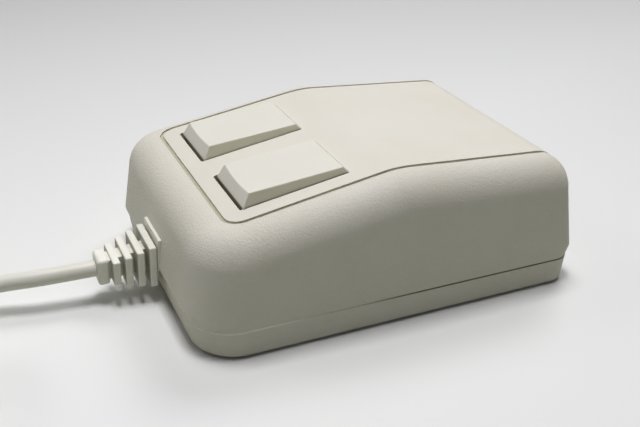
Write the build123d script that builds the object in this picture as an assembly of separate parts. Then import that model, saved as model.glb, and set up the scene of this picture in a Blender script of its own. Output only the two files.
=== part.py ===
"""Two-button ball mouse with a moulded cord, millimetres.

+X is to the user's right, +Y points away from the user along the cord, +Z is up.
The origin is on the desk, under the middle of the case.
"""
from build123d import *
import math
import os

os.makedirs("parts", exist_ok=True)

# ---- Case form ----
CASE_WIDTH = 67.0
SKIRT_LENGTH = 100.4        # over the widest line of the upper case
SKIRT_Z = 9.6               # height of that line above the desk
PARTING_Z = 7.0             # seam between the two halves
SKIRT_TUCK = 0.95           # how far the seam lies inside that line at each end
BASE_LENGTH = SKIRT_LENGTH - 2 * SKIRT_TUCK
BASE_FRONT_RAKE = 1.1       # how far the tray's bottom edge lies behind its rim in front
BASE_REAR_RAKE = 0.35
FOOT_STAND = 0.6            # gap under the tray
CROWN_Y = 1.1               # where the two flats of the top meet
CROWN_Z = 36.3
FRONT_SLOPE = 10.76         # degrees, the top falls towards the cord
REAR_SLOPE = 2.86           # degrees, the top falls towards the palm
FRONT_LEAN = 8.0            # degrees from upright
REAR_LEAN = 14.6
CROWN_RADIUS = 30.0
FRONT_CORNER = 10.0         # upright corners
REAR_CORNER = 5.3
TOP_EDGE = 8.0
BASE_EDGE = 0.6
WALL = 2.2
FLOOR = 2.0
LIP_HEIGHT = 1.4            # tongue of the tray inside the upper case
LIP_WALL = 1.0
LIP_GAP = 0.15
RIM_PROUD = 0.12            # the tray's rim stands this much outside the upper case
SEAM_START = SKIRT_LENGTH / 2 - 25.0    # a hairline opens above that rim here, on each side
SEAM_HAIR = 0.03
SEAM_REAR = 0.15            # its height at the rear end
SEAM_DEPTH = 0.3
BEYOND = 200.0              # farther out than any piece
CLEAR = 0.3                 # free space round screws and lugs
SMALL_CHAMFER = 0.4

# ---- Smooth top panel and its groove ----
PANEL_WIDTH = 52.0
PANEL_FRONT = SKIRT_LENGTH / 2 - 9.8
PANEL_CORNER = 4.0
GROOVE_WIDTH = 0.9
GROOVE_DEPTH = 0.5

# ---- Keys, measured along and across the front flat, from the crown ----
KEY_X = 12.85
HOLE_WIDTH = 17.5
HOLE_LENGTH = 26.22
HOLE_MARGIN = 4.3           # from the holes to the groove in front of them
HOLE_FRONT = (PANEL_FRONT - CROWN_Y) / math.cos(math.radians(FRONT_SLOPE)) - HOLE_MARGIN
HOLE_REAR = HOLE_FRONT - HOLE_LENGTH
HOLE_CORNER = 0.6
KEY_SIDE_GAP = 0.35
KEY_REAR_GAP = 0.12
KEY_FRONT_GAP = 0.85
KEY_RISE_FRONT = 3.0
KEY_RISE_REAR = 1.5
KEY_BEVEL_SIDE = 1.0        # per KEY_LOFT of height
KEY_BEVEL_FRONT = 2.55
KEY_BEVEL_REAR = 2.2
KEY_LOFT = 3.4
KEY_DISH = 75.0             # radius of the hollow along each key
KEY_DEPTH = 6.2             # skirt below the panel's face
KEY_WALL = 1.6
KEY_ROUND = 0.35
KEY_LIP = 1.5               # catch under the panel in front
KEY_LIP_THICK = 1.2
KEY_SHARP_BELOW = 0.2       # edges lower than this stay sharp
PIVOT_S = HOLE_REAR - 4.28
PIVOT_DEPTH = 5.0
PIVOT_PIN_R = 0.9
PIVOT_BARREL_R = 2.0
PIVOT_BARREL_LENGTH = 12.0
HINGE_LUG = 1.8
HINGE_GAP = 0.2
RUNNING = 0.05              # radial clearance of every pin and shaft
POST_ARM = 4.0              # actuator post, cross-shaped
POST_WEB = 1.2
POST_GAP = 0.1

# ---- Circuit board and switches ----
BOARD_Z = 7.6
BOARD_THICK = 1.6
BOARD_WIDTH = 54.0
BOARD_FRONT = SKIRT_LENGTH / 2 - 10.2
BOARD_REAR = -SKIRT_LENGTH / 2 + 13.7
BOARD_CORNER = 4.0
BOARD_BALL_R = 20.5
BOARD_SLOT_GAP = 0.7
BOARD_BOSS_X = 24.6
BOARD_BOSS_FRONT = BOARD_FRONT - 4.5
BOARD_BOSS_REAR = BOARD_REAR + 4.5
BOARD_BOSS_R = 2.6
BOARD_SCREW_R = 1.1
BOARD_SCREW_HEAD = 2.1
BOARD_SCREW_HEAD_TALL = 1.2
BOARD_SCREW_LENGTH = 6.5
BOARD_HOLE_CLEAR = 0.2
BOARD_BOSS_CLEAR = 0.6
SWITCH_Y = PANEL_FRONT - 13.4
SWITCH_SIZE = (5.8, 12.8, 6.5)
PLUNGER_SIZE = (2.0, 3.0)
PLUNGER_RISE = 0.9
PLUNGER_DEPTH = 1.8
PLUNGER_ROUND = 0.25
WELL_CLEAR = 0.1            # under the plunger
LEAD_PITCH = 5.08
LEAD_R = 0.35
LEAD_TAIL = 1.5             # below the board
CHIP_SIZE = (6.4, 19.6, 3.4)
CHIP_LIFT = 0.5
CHIP_ROW = 7.62
CHIP_PITCH = 2.54
CHIP_PINS = 7
CHIP_LEAD_R = 0.25
CHIP_LEAD_TOP = 0.05
CHIP_HOLE_CLEAR = 0.1
CHIP_NOTCH = 0.6
RESISTOR_X = 21.5
RESISTOR_YS = (13.0, 18.0)
RESISTOR_R = 1.1
RESISTOR_LENGTH = 5.6
RESISTOR_SPAN = 9.0
WIRE_R = 0.3
CAPACITOR_AT = (21.5, 25.0)
CAPACITOR_R = 2.5
CAPACITOR_TALL = 7.5
BEAD_LOW = 0.9              # the groove rolled into the can
BEAD_HIGH = 1.5
BEAD_DEPTH = 0.25
HEADER_SIZE = (13.0, 5.0, 4.5)
HEADER_Y = BOARD_FRONT - 4.0
HEADER_WALL = 0.8
HEADER_POCKET = 3.0
HEADER_PLUG_SIZE = (11.0, 5.0, 3.4)
STRAND_COUNT = 7            # the cord's inner wires
STRAND_PITCH = 1.5
STRAND_R = 0.4
STRAND_RUN = 1.2            # straight at each end
STRAND_BEND = 0.6

# ---- Ball and its cage ----
BALL_Y = -14.0
BALL_R = 12.0
CORE_R = 10.4
CAGE_GAP = 0.9
CAGE_WALL = 1.6
CAGE_FOOT_IN = 15.8
CAGE_FOOT_OUT = 17.4
CAGE_FLANGE_OUT = 18.6
CAGE_FLANGE_THICK = 1.2
CAGE_STEP_Z = 4.6
CAGE_TOP_HOLE = 6.0
PORT_R = 13.2
RING_RECESS_R = 17.0
RING_RECESS_DEPTH = 1.2
RING_GAP = 0.15
RING_IN = 9.6
RING_NECK = 1.6
RING_SINK = 0.1             # above the tray's underside
RING_MOUTH = 1.2            # the hole narrows by this much towards the desk
RING_MOUTH_TALL = 0.3
RING_TAPER = 0.6
RING_GRIP_AT = 14.6
RING_GRIP = (6.0, 1.4, 1.0)
LUG_OUT = 15.0
LUG_ANGLE = 24.0
LUG_RISE = 0.8
LUG_ROOT = 0.6
NOTCH_TURN = 45.0

# ---- Encoders ----
ROLLER_R = 2.0
ROLLER_LENGTH = 9.0
SHAFT_R = 1.0
SHAFT_PAST_HUB = 0.6
ROLLER_GAP = 0.1
BEARING_AT = 9.0
BEARING_THICK = 3.0
BEARING_WIDTH = 5.0
BEARING_TOP = 15.0
WHEEL_AT = 15.0
WHEEL_R = 7.5
WHEEL_THICK = 1.0
WHEEL_HUB_R = 2.4
WHEEL_HUB_LENGTH = 4.0
WHEEL_SLOTS = 20
SLOT_IN = 4.8
SLOT_OUT = 6.8
SENSOR_SIZE = (2.4, 4.4, 6.2)   # along the beam, across it, height
SENSOR_GAP = 1.6
SENSOR_OFFSET = 5.8
LENS_R = 1.2
LENS_LENGTH = 0.7
DETECTOR_LENS = 0.3
LENS_SEAT = 0.2
WINDOW_GAP = 0.6

# ---- Idler that keeps the ball against both shafts ----
IDLER_R = 3.0
IDLER_LENGTH = 6.0
IDLER_AXLE_R = 0.7
IDLER_PIVOT_AT = 8.5
IDLER_PIVOT_R = 0.8
IDLER_HUB_R = 2.0
ARM_GAP = 0.3
ARM_CHEEK = 1.4
ARM_HEIGHT = 4.0
ARM_BACK = 1.4
ARM_NOSE = 1.2              # the cheeks reach this far past the axle
ARM_STEM = (-0.4, 1.8)
ARM_CLEAR = 0.8
IDLER_WINDOW = (-6.0, 9.0)
SPRING_R = 1.55
SPRING_WIRE_R = 0.25
SPRING_TURNS = 3
SPRING_PITCH = 0.65
PIN_HEAD_GAP = 0.8
PIN_HEAD_SPREAD = 1.4
PIN_HEAD_TALL = 0.6

# ---- Screws and feet ----
CASE_SCREW_X = CASE_WIDTH / 2 - 9.5
CASE_SCREW_Y = -SKIRT_LENGTH / 2 + 9.2
CASE_BOSS_R = 3.6
CASE_BOSS_STEP = 0.6        # the upper boss is slimmer
PILOT_R = 1.3
CASE_SCREW_HEAD_R = 2.7
CASE_SCREW_HEAD = 1.8
CASE_SCREW_LENGTH = 14.0
CASE_SCREW_SINK = 0.6
CROSS_HALF = 0.3
CROSS_REACH = 2.0
CROSS_DEPTH = 0.7
FOOT_R = 4.5
FOOT_SEAT = 0.4
FOOT_X = CASE_WIDTH / 2 - 8.5
FOOT_FRONT_Y = SKIRT_LENGTH / 2 - 13.2
FOOT_REAR_Y = -SKIRT_LENGTH / 2 + 19.2

# ---- Cord ----
CORD_R = 1.95
RELIEF_Z = 9.65
PLATE_HALF = 6.05
PLATE_BOTTOM = 8.6
PLATE_TOP = 16.4
PLATE_THICK_TOP = 0.7
PLATE_THICK_LOW = 0.12      # at the widest line
PLATE_ROUND = 0.25
FIN_COUNT = 4
FIN_PITCH = 2.69
FIN_FIRST = SKIRT_LENGTH / 2 + 1.9     # front face of the fin nearest the case
FIN_THICK = 1.7
FIN_HALF_NEAR = 6.1
FIN_HALF_FAR = 4.95
FIN_TALL_NEAR = 10.4
FIN_TALL_FAR = 6.0
FIN_ROUND = 0.35
SPINE_HALF = 2.1
SPINE_TALL_NEAR = 5.9
SPINE_TALL_FAR = 4.8
SPINE_LIFT = 0.4
SPINE_CLEAR = 0.1
NOSE_HALF = 3.1
NOSE_TALL = 6.6
NOSE_THICK = 2.7
NOSE_GAP = 0.44             # between the last fin and the nose
NOSE_ROUND = 0.8
AXIS_DROP = 0.95            # the boot's axis falls this much from the case to its nose
NECK_HALF = 4.0
NECK_TALL = 5.6
COLLAR_HALF = 5.5
COLLAR_TALL = 7.6
COLLAR_THICK = 1.5
COLLAR_GAP = 0.1
NECK_BITE = 0.1

COIL_RADII = (15.15, 19.05, 22.95, 26.85)
COIL_LAYERS = 2
COIL_LIFT = 0.5
COIL_CENTRE = (31.35, 118.0)
LEAD_IN = ((0.4, 75, 8.4), (3.4, 86, 7.3), (5.2, 97, 4.6), (5.1, 108, 2.45), (4.5, 118, 2.45))
LEAD_OUT = ((4.5, 118, 6.35), (4.1, 127.3, 4.9), (4.6, 136.2, 2.6), (4.5, 147.2, 1.95),
            (-3.41, 155.1, 1.95), (-14.59, 155.1, 2.9), (-22.5, 147.2, 5.4))
TIE_WIDTH = 4.0
TIE_THICK = 0.5
TIE_GAP = 0.03
TIE_ANGLE = 90.0
TIE_TALL = 20.0             # higher than the bundle of turns
BUNDLE_ROUND = 0.7          # of the cord's radius
ARC_SHARE = 0.45            # of the shorter run, taken by an arc

# ---- Nine-way plug ----
PLUG_X = -22.5
PLUG_FACE_Y = 96.2          # front of the moulded hood
HOOD_WIDTH = 31.0
HOOD_TALL = 15.5
HOOD_LENGTH = 32.0
HOOD_END_WIDTH = 21.0
HOOD_END_TALL = 12.5
HOOD_ROUND = 2.5
HOOD_KNEE = 0.45            # share of its length where it starts to narrow
HOOD_TAIL = 8.0
HOOD_TAIL_R = 4.0
HOOD_TAIL_END_R = 2.7
GRIP_COUNT = 5
GRIP_PITCH = 3.2
GRIP_WIDTH = 1.3
GRIP_DEPTH = 0.7
GRIP_FIRST = 5.0
GRIP_HALF = 9.0
FLANGE_WIDTH = 30.8
FLANGE_TALL = 12.5
FLANGE_THICK = 0.8
FLANGE_ROUND = 1.5
SHELL_WIDTH = 16.9
SHELL_TALL = 8.3
SHELL_LENGTH = 5.9
SHELL_WALL = 0.4
SHELL_SLANT = 10.0
SHELL_ROUND = 2.0
INSERT_GAP = 0.05
INSERT_SINK = 0.3
PIN_PITCH = 2.77
PIN_ROW = 2.84
PIN_HOLE_R = 0.75
CONTACT_BORE_R = 0.5
CONTACT_LENGTH = 5.0
CONTACT_SINK = 0.2
CONTACT_HOLE_SPARE = 1.2


# ---------------------------------------------------------------- helpers
def box(x0, x1, y0, y1, z0, z1):
    """A box between two corners."""
    return Pos((x0 + x1) / 2, (y0 + y1) / 2, (z0 + z1) / 2) * Box(x1 - x0, y1 - y0, z1 - z0)


def cylinder_z(x, y, radius, z0, z1):
    """An upright cylinder between two heights."""
    return Pos(x, y, (z0 + z1) / 2) * Cylinder(radius, z1 - z0)


def cylinder_along(plane, radius, start, end):
    """A cylinder along a plane's normal, from start to end."""
    return plane * Pos(0, 0, (start + end) / 2) * Cylinder(radius, end - start)


def write(name, shape):
    """One STEP file for each node."""
    export_step(shape, f"parts/{name}.step")


def line_at(point, degrees):
    """A line as a point and a unit direction."""
    a = math.radians(degrees)
    return point[0], point[1], math.cos(a), math.sin(a)


def crossing(first, second):
    """Where two lines of the side view cross."""
    x1, y1, dx1, dy1 = first
    x2, y2, dx2, dy2 = second
    t = ((x2 - x1) * dy2 - (y2 - y1) * dx2) / (dx1 * dy2 - dy1 * dx2)
    return x1 + t * dx1, y1 + t * dy1


def share(near, far, part, whole):
    """A size that runs evenly from near to far, at part of the whole way."""
    return near + (far - near) * part / whole


# ---------------------------------------------------------------- case form
FRONT_FLAT = line_at((CROWN_Y, CROWN_Z), -FRONT_SLOPE)
REAR_FLAT = line_at((CROWN_Y, CROWN_Z), REAR_SLOPE)
FRONT_FACE = line_at((SKIRT_LENGTH / 2, SKIRT_Z), 90 + FRONT_LEAN)
REAR_FACE = line_at((-SKIRT_LENGTH / 2, SKIRT_Z), 90 - REAR_LEAN)


def face_y(z):
    """Where the front face lies at a height, over the widest line and in the chamfer under it."""
    if z >= SKIRT_Z:
        return SKIRT_LENGTH / 2 - (z - SKIRT_Z) * math.tan(math.radians(FRONT_LEAN))
    return share(SKIRT_LENGTH, BASE_LENGTH, SKIRT_Z - z, SKIRT_Z - PARTING_Z) / 2


SLOPE_PLANE = Plane(
    origin=(0, CROWN_Y, CROWN_Z),
    x_dir=(1, 0, 0),
    z_dir=(0, math.sin(math.radians(FRONT_SLOPE)), math.cos(math.radians(FRONT_SLOPE))),
)


def side_view(inset):
    """The case seen from the side, carried down to the desk, drawn in by inset."""
    points = [
        (-BASE_LENGTH / 2, 0),
        (BASE_LENGTH / 2, 0),
        (BASE_LENGTH / 2, PARTING_Z),
        (SKIRT_LENGTH / 2, SKIRT_Z),
        crossing(FRONT_FACE, FRONT_FLAT),
        (CROWN_Y, CROWN_Z),
        crossing(REAR_FLAT, REAR_FACE),
        (-SKIRT_LENGTH / 2, SKIRT_Z),
        (-BASE_LENGTH / 2, PARTING_Z),
    ]
    outline = make_face(Polyline(*points, close=True))
    return offset(outline, amount=-inset, kind=Kind.INTERSECTION) if inset else outline


def upright_edges(solid, half_width, front):
    """The edges down the corners of one end."""
    found = []
    for edge in solid.edges():
        middle = edge.center()
        outer = abs(abs(middle.X) - half_width) < 0.01 and abs(edge.tangent_at(0.5).Z) > 0.5
        if outer and (middle.Y > 0) == front:
            found.append(edge)
    return found


def rim_edges(solid):
    """The edges where the top meets the sides and ends."""
    seen = {}
    for face in solid.faces():
        if face.normal_at(face.center()).Z > 0.9:
            for edge in face.edges():
                middle = edge.center()
                key = (round(middle.X, 2), round(middle.Y, 2), round(middle.Z, 2))
                seen.setdefault(key, []).append(edge)
    return [edges[0] for edges in seen.values() if len(edges) == 1]


def case_form(inset):
    """The rounded outer form of the whole case, drawn in by inset, down to below the tray."""
    half = CASE_WIDTH / 2 - inset
    form = extrude(Plane.YZ * side_view(inset), amount=half, both=True)
    across = [e for e in form.edges() if abs(e.tangent_at(0.5).X) > 0.99]
    crown = [e for e in across if e.center().Z > CROWN_Z - inset - 1]
    form = fillet(crown, CROWN_RADIUS - inset)
    form = fillet(upright_edges(form, half, True), FRONT_CORNER - inset)
    form = fillet(rim_edges(form), TOP_EDGE - inset)
    return fillet(upright_edges(form, half, False), REAR_CORNER - inset)


def above(shape, z):
    """What lies above a height."""
    return shape & box(-BEYOND, BEYOND, -BEYOND, BEYOND, z, BEYOND)


def below(shape, z):
    """What lies below a height."""
    return shape & box(-BEYOND, BEYOND, -BEYOND, BEYOND, -BEYOND, z)


def panel_outline(grow):
    """The smooth panel in plan, open over the rear end, grown by grow."""
    half = PANEL_WIDTH / 2 + grow
    front = PANEL_FRONT + grow
    rear = -SKIRT_LENGTH
    plan = Pos(0, (front + rear) / 2) * Rectangle(2 * half, front - rear)
    return fillet(plan.vertices().group_by(Axis.Y)[-1], PANEL_CORNER + grow)


def panel_groove(outer):
    """The shallow groove round the smooth panel, over the rear edge and down to the skirt."""
    band = panel_outline(GROOVE_WIDTH / 2) - panel_outline(-GROOVE_WIDTH / 2)
    wall = extrude(Pos(0, 0, SKIRT_Z) * band, amount=CROWN_Z)
    return (wall & outer) - case_form(GROOVE_DEPTH)


def seam_line(outer):
    """The hairline between the two halves, which widens from the middle of each side to the rear."""
    run = SEAM_START + SKIRT_LENGTH
    far_height = share(SEAM_HAIR, SEAM_REAR, run, SEAM_START + SKIRT_LENGTH / 2)
    profile = Polyline(
        (SEAM_START, 0),
        (SEAM_START, PARTING_Z + SEAM_HAIR),
        (-SKIRT_LENGTH, far_height + PARTING_Z),
        (-SKIRT_LENGTH, 0),
        close=True,
    )
    wedge = extrude(Plane.YZ * make_face(profile), amount=CASE_WIDTH, both=True)
    return (wedge & outer) - case_form(SEAM_DEPTH)


def key_hole(side):
    """The hole in the panel for one key."""
    length = HOLE_FRONT - HOLE_REAR
    middle = (HOLE_FRONT + HOLE_REAR) / 2
    plan = Pos(side * KEY_X, middle) * RectangleRounded(HOLE_WIDTH, length, HOLE_CORNER)
    return extrude(SLOPE_PLANE * plan, amount=2 * WALL, both=True)


def pivot_plane(x):
    """The plane across a key's pivot, with its normal along +X."""
    centre = SLOPE_PLANE.from_local_coords(Vector(x, PIVOT_S, -PIVOT_DEPTH))
    return Plane(origin=centre, x_dir=(0, 1, 0), z_dir=(1, 0, 0))


def hinge_lugs(side):
    """The two lugs under the panel that hold one key's pin."""
    lugs = Part()
    start = PIVOT_BARREL_LENGTH / 2 + HINGE_GAP
    for sign in (-1, 1):
        x0 = side * KEY_X + sign * (start + HINGE_LUG / 2)
        web = box(-HINGE_LUG / 2, HINGE_LUG / 2, -PIVOT_BARREL_R, PIVOT_BARREL_R, -PIVOT_DEPTH, -WALL / 2)
        eye = cylinder_along(pivot_plane(x0), PIVOT_BARREL_R, -HINGE_LUG / 2, HINGE_LUG / 2)
        lug = SLOPE_PLANE * Pos(x0, PIVOT_S, 0) * web + eye
        lugs += lug - cylinder_along(pivot_plane(x0), PIVOT_PIN_R + RUNNING, -HINGE_LUG, HINGE_LUG)
    return lugs


def relief_slot():
    """The opening in the front wall for the strain relief's neck, and the room for its collar."""
    half, tall = NECK_HALF + RUNNING, NECK_TALL / 2 + RUNNING
    slot = box(-half, half, COLLAR_FRONT - 1, SKIRT_LENGTH, RELIEF_Z - tall, RELIEF_Z + tall)
    half, tall = COLLAR_HALF + 2 * COLLAR_GAP, COLLAR_TALL / 2 + 2 * COLLAR_GAP
    rear = COLLAR_FRONT - COLLAR_THICK - COLLAR_GAP
    return slot + box(-half, half, rear - 2, COLLAR_FRONT + COLLAR_GAP, RELIEF_Z - tall, RELIEF_Z + tall)


def upper_case():
    """Thin moulded shell: leaning ends, skirt chamfer, grooved panel, key holes, lugs and screw bosses."""
    outer = above(case_form(0), PARTING_Z)
    shell = outer - case_form(WALL) - panel_groove(outer) - seam_line(outer)
    for side in (-1, 1):
        shell -= key_hole(side)
        shell += hinge_lugs(side)
        slim = CASE_BOSS_R - CASE_BOSS_STEP
        boss = cylinder_z(side * CASE_SCREW_X, CASE_SCREW_Y, slim, CASE_BOSS_TOP, CROWN_Z)
        shell += boss & case_form(WALL / 2)
        pilot_top = CASE_SCREW_HEAD_Z + CASE_SCREW_LENGTH + 1
        shell -= cylinder_z(side * CASE_SCREW_X, CASE_SCREW_Y, PILOT_R, CASE_BOSS_TOP - 1, pilot_top)
    return shell - relief_slot()


def tray_form(inset, floor_z):
    """The tray's outer form, raked in towards its bottom edge, drawn in by inset."""
    points = [
        (-BASE_LENGTH / 2 + BASE_REAR_RAKE + inset, floor_z),
        (BASE_LENGTH / 2 - BASE_FRONT_RAKE - inset, floor_z),
        (BASE_LENGTH / 2 - inset, PARTING_Z),
        (-BASE_LENGTH / 2 + inset, PARTING_Z),
    ]
    half = CASE_WIDTH / 2 - inset
    form = extrude(Plane.YZ * make_face(Polyline(*points, close=True)), amount=half, both=True)
    form = fillet(upright_edges(form, half, True), FRONT_CORNER - inset)
    form = fillet(upright_edges(form, half, False), REAR_CORNER - inset)
    if floor_z == FOOT_STAND:
        form = fillet(form.faces().sort_by(Axis.Z)[0].edges(), BASE_EDGE)
    return form


FLOOR_TOP = FOOT_STAND + FLOOR
COLLAR_FRONT = face_y(RELIEF_Z + COLLAR_TALL / 2) - WALL - COLLAR_GAP
NOSE_FRONT = FIN_FIRST + (FIN_COUNT - 1) * FIN_PITCH + NOSE_GAP + NOSE_THICK
NOSE_Z = RELIEF_Z - AXIS_DROP
CASE_BOSS_TOP = PARTING_Z + 2.0
CASE_SCREW_HEAD_Z = FOOT_STAND + CASE_SCREW_SINK
BALL_CENTRE = (0, BALL_Y, BALL_R)


def lip():
    """The tongue that locates the upper case on the tray."""
    ring = below(above(case_form(WALL + LIP_GAP), PARTING_Z - WALL), PARTING_Z + LIP_HEIGHT)
    return ring - case_form(WALL + LIP_GAP + LIP_WALL)


def arc_blocks(inner, outer, angle, z0, z1, turn):
    """Two opposite arc-shaped blocks round the ball port."""
    ring = cylinder_z(0, BALL_Y, outer, z0, z1) - cylinder_z(0, BALL_Y, inner, z0 - 1, z1 + 1)
    blocks = Part()
    for start in (turn, turn + 180):
        half = math.radians(angle / 2)
        reach = 2 * outer
        wedge = make_face(
            Polyline((0, 0), (reach * math.cos(half), -reach * math.sin(half)),
                     (reach * math.cos(half), reach * math.sin(half)), close=True)
        )
        sector = extrude(wedge, amount=z1 - z0)
        blocks += ring & (Pos(0, BALL_Y, z0) * Rot(0, 0, start) * sector)
    return blocks


def base_cover():
    """Shallow tray: lip, ball port with bayonet notches, foot recesses, board posts and screw bosses."""
    tray = tray_form(-RIM_PROUD, FOOT_STAND) - tray_form(WALL, FLOOR_TOP)
    tray += lip()
    tray -= cylinder_z(0, BALL_Y, PORT_R, 0, PARTING_Z)
    tray -= cylinder_z(0, BALL_Y, RING_RECESS_R, 0, FOOT_STAND + RING_RECESS_DEPTH)
    tray -= arc_blocks(PORT_R - 1, LUG_OUT + CLEAR, LUG_ANGLE + 4, 0, PARTING_Z, NOTCH_TURN)
    for x, y in foot_places():
        tray -= cylinder_z(x, y, FOOT_R + RUNNING, 0, FOOT_STAND + FOOT_SEAT)
    for x, y in board_bosses():
        tray += cylinder_z(x, y, BOARD_BOSS_R, FLOOR_TOP - 0.5, BOARD_Z)
        tray -= cylinder_z(x, y, BOARD_SCREW_R + RUNNING, FLOOR_TOP, PARTING_Z + 3)
    for side in (-1, 1):
        x = side * CASE_SCREW_X
        tray += cylinder_z(x, CASE_SCREW_Y, CASE_BOSS_R, FLOOR_TOP - 0.5, CASE_BOSS_TOP)
        tray -= cylinder_z(x, CASE_SCREW_Y, PILOT_R + CLEAR, 0, CASE_BOSS_TOP + 1)
        head_top = CASE_SCREW_HEAD_Z + CASE_SCREW_HEAD
        tray -= cylinder_z(x, CASE_SCREW_Y, CASE_SCREW_HEAD_R + CLEAR, 0, head_top)
    return tray - relief_slot()


def foot_places():
    """The four feet's centres."""
    return [(side * FOOT_X, y) for side in (-1, 1) for y in (FOOT_FRONT_Y, FOOT_REAR_Y)]


def board_bosses():
    """The four board posts' centres."""
    return [(side * BOARD_BOSS_X, y) for side in (-1, 1) for y in (BOARD_BOSS_FRONT, BOARD_BOSS_REAR)]


def glide_feet():
    """Four round low-friction pads."""
    return [cylinder_z(x, y, FOOT_R, 0, FOOT_STAND + FOOT_SEAT) for x, y in foot_places()]


def case_screws():
    """Two pan-head screws from below."""
    screws = []
    for side in (-1, 1):
        x, y, z = side * CASE_SCREW_X, CASE_SCREW_Y, CASE_SCREW_HEAD_Z
        head = cylinder_z(x, y, CASE_SCREW_HEAD_R, z, z + CASE_SCREW_HEAD)
        shank = cylinder_z(x, y, PILOT_R - RUNNING, z, z + CASE_SCREW_LENGTH)
        slot, cross = (
            box(x - wide, x + wide, y - long, y + long, z - 1, z + CROSS_DEPTH)
            for wide, long in ((CROSS_HALF, CROSS_REACH), (CROSS_REACH, CROSS_HALF))
        )
        screws.append(head + shank - slot - cross)
    return screws


# ---------------------------------------------------------------- keys
def key_body():
    """One wedge key in its own frame: x across, y along the flat, z out of it."""
    half = HOLE_WIDTH / 2 - KEY_SIDE_GAP
    rear, front = HOLE_REAR + KEY_REAR_GAP, HOLE_FRONT - KEY_FRONT_GAP
    low = Pos(0, (rear + front) / 2) * Rectangle(2 * half, front - rear)
    top_rear, top_front = rear + KEY_BEVEL_REAR, front - KEY_BEVEL_FRONT
    high = Pos(0, (top_rear + top_front) / 2, KEY_LOFT)
    high *= Rectangle(2 * (half - KEY_BEVEL_SIDE), top_front - top_rear)
    body = loft([low, high], ruled=True)
    rise = (KEY_RISE_FRONT - KEY_RISE_REAR) / (front - rear)
    crest = (KEY_RISE_FRONT + KEY_RISE_REAR) / 2 - dish_depth(half)
    middle = Vector(0, (rear + front) / 2, crest + KEY_DISH)
    axis = Plane(origin=middle, x_dir=(1, 0, 0), z_dir=(0, 1, rise))
    body -= axis * Cylinder(KEY_DISH, 3 * (front - rear))
    edges = [e for e in body.edges() if e.center().Z > KEY_SHARP_BELOW]
    body = fillet(edges, KEY_ROUND)
    skirt = box(-half, half, rear, front, -KEY_DEPTH, 0)
    inside = box(
        -half + KEY_WALL, half - KEY_WALL, rear + KEY_WALL, front - KEY_WALL, -KEY_DEPTH - 1, -KEY_WALL / 4
    )
    return body + skirt - inside


def dish_depth(half):
    """How far the hollow lies below the key's long edges."""
    return KEY_DISH - math.sqrt(KEY_DISH**2 - (half - KEY_BEVEL_SIDE) ** 2)


def button(side):
    """A key with its catch, hinge barrel and actuator post."""
    half = HOLE_WIDTH / 2 - KEY_SIDE_GAP
    rear, front = HOLE_REAR + KEY_REAR_GAP, HOLE_FRONT - KEY_FRONT_GAP
    key = key_body()
    catch_top = -WALL - KEY_SIDE_GAP
    key += box(-half + 1, half - 1, front - 1, HOLE_FRONT + KEY_LIP, catch_top - KEY_LIP_THICK, catch_top)
    reach = PIVOT_BARREL_LENGTH / 2
    key += box(-reach, reach, PIVOT_S, rear + 1, -KEY_DEPTH, -KEY_DEPTH + PIVOT_BARREL_R)
    key = SLOPE_PLANE * Pos(side * KEY_X, 0, 0) * key
    barrel = pivot_plane(side * KEY_X)
    key += cylinder_along(barrel, PIVOT_BARREL_R, -reach, reach)
    key -= cylinder_along(barrel, PIVOT_PIN_R + RUNNING, -reach - 1, reach + 1)
    x, top = side * KEY_X, key_inside_z(SWITCH_Y)
    bottom = PLUNGER_TOP + POST_GAP
    for wide, long in ((POST_ARM / 2, POST_WEB / 2), (POST_WEB / 2, POST_ARM / 2)):
        key += box(x - wide, x + wide, SWITCH_Y - long, SWITCH_Y + long, bottom, top)
    return key


def key_inside_z(y):
    """A height inside the key's roof above y."""
    return CROWN_Z - (y - CROWN_Y) * math.tan(math.radians(FRONT_SLOPE)) + KEY_WALL / 2


def button_hinge_pins():
    """One steel pin through each key's barrel and lugs."""
    reach = PIVOT_BARREL_LENGTH / 2 + HINGE_GAP + HINGE_LUG
    return [cylinder_along(pivot_plane(side * KEY_X), PIVOT_PIN_R, -reach, reach) for side in (-1, 1)]


# ---------------------------------------------------------------- board
BOARD_TOP = BOARD_Z + BOARD_THICK
PLUNGER_TOP = BOARD_TOP + SWITCH_SIZE[2] + PLUNGER_RISE
CHIP_Y = (BALL_Y + CAGE_FLANGE_OUT + HEADER_Y - HEADER_SIZE[1] / 2) / 2
SHAFT_OFFSET = BALL_R + ROLLER_R + ROLLER_GAP
FRONT_SHAFT = Plane(origin=(0, BALL_Y + SHAFT_OFFSET, BALL_R), x_dir=(0, 1, 0), z_dir=(1, 0, 0))
SIDE_SHAFT = Plane(origin=(-SHAFT_OFFSET, BALL_Y, BALL_R), x_dir=(1, 0, 0), z_dir=(0, -1, 0))
HEADER_POCKET_Y = HEADER_Y - HEADER_SIZE[1] / 2 + HEADER_WALL


def wheel_slots():
    """The board's slots for the two encoder wheels."""
    reach, half = WHEEL_R + BOARD_SLOT_GAP, WHEEL_THICK / 2 + BOARD_SLOT_GAP
    y = BALL_Y + SHAFT_OFFSET
    front = box(WHEEL_AT - half, WHEEL_AT + half, y - reach, y + reach, 0, BOARD_TOP + 1)
    y = BALL_Y - WHEEL_AT
    side = box(-SHAFT_OFFSET - reach, -SHAFT_OFFSET + reach, y - half, y + half, 0, BOARD_TOP + 1)
    return front + side


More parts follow.
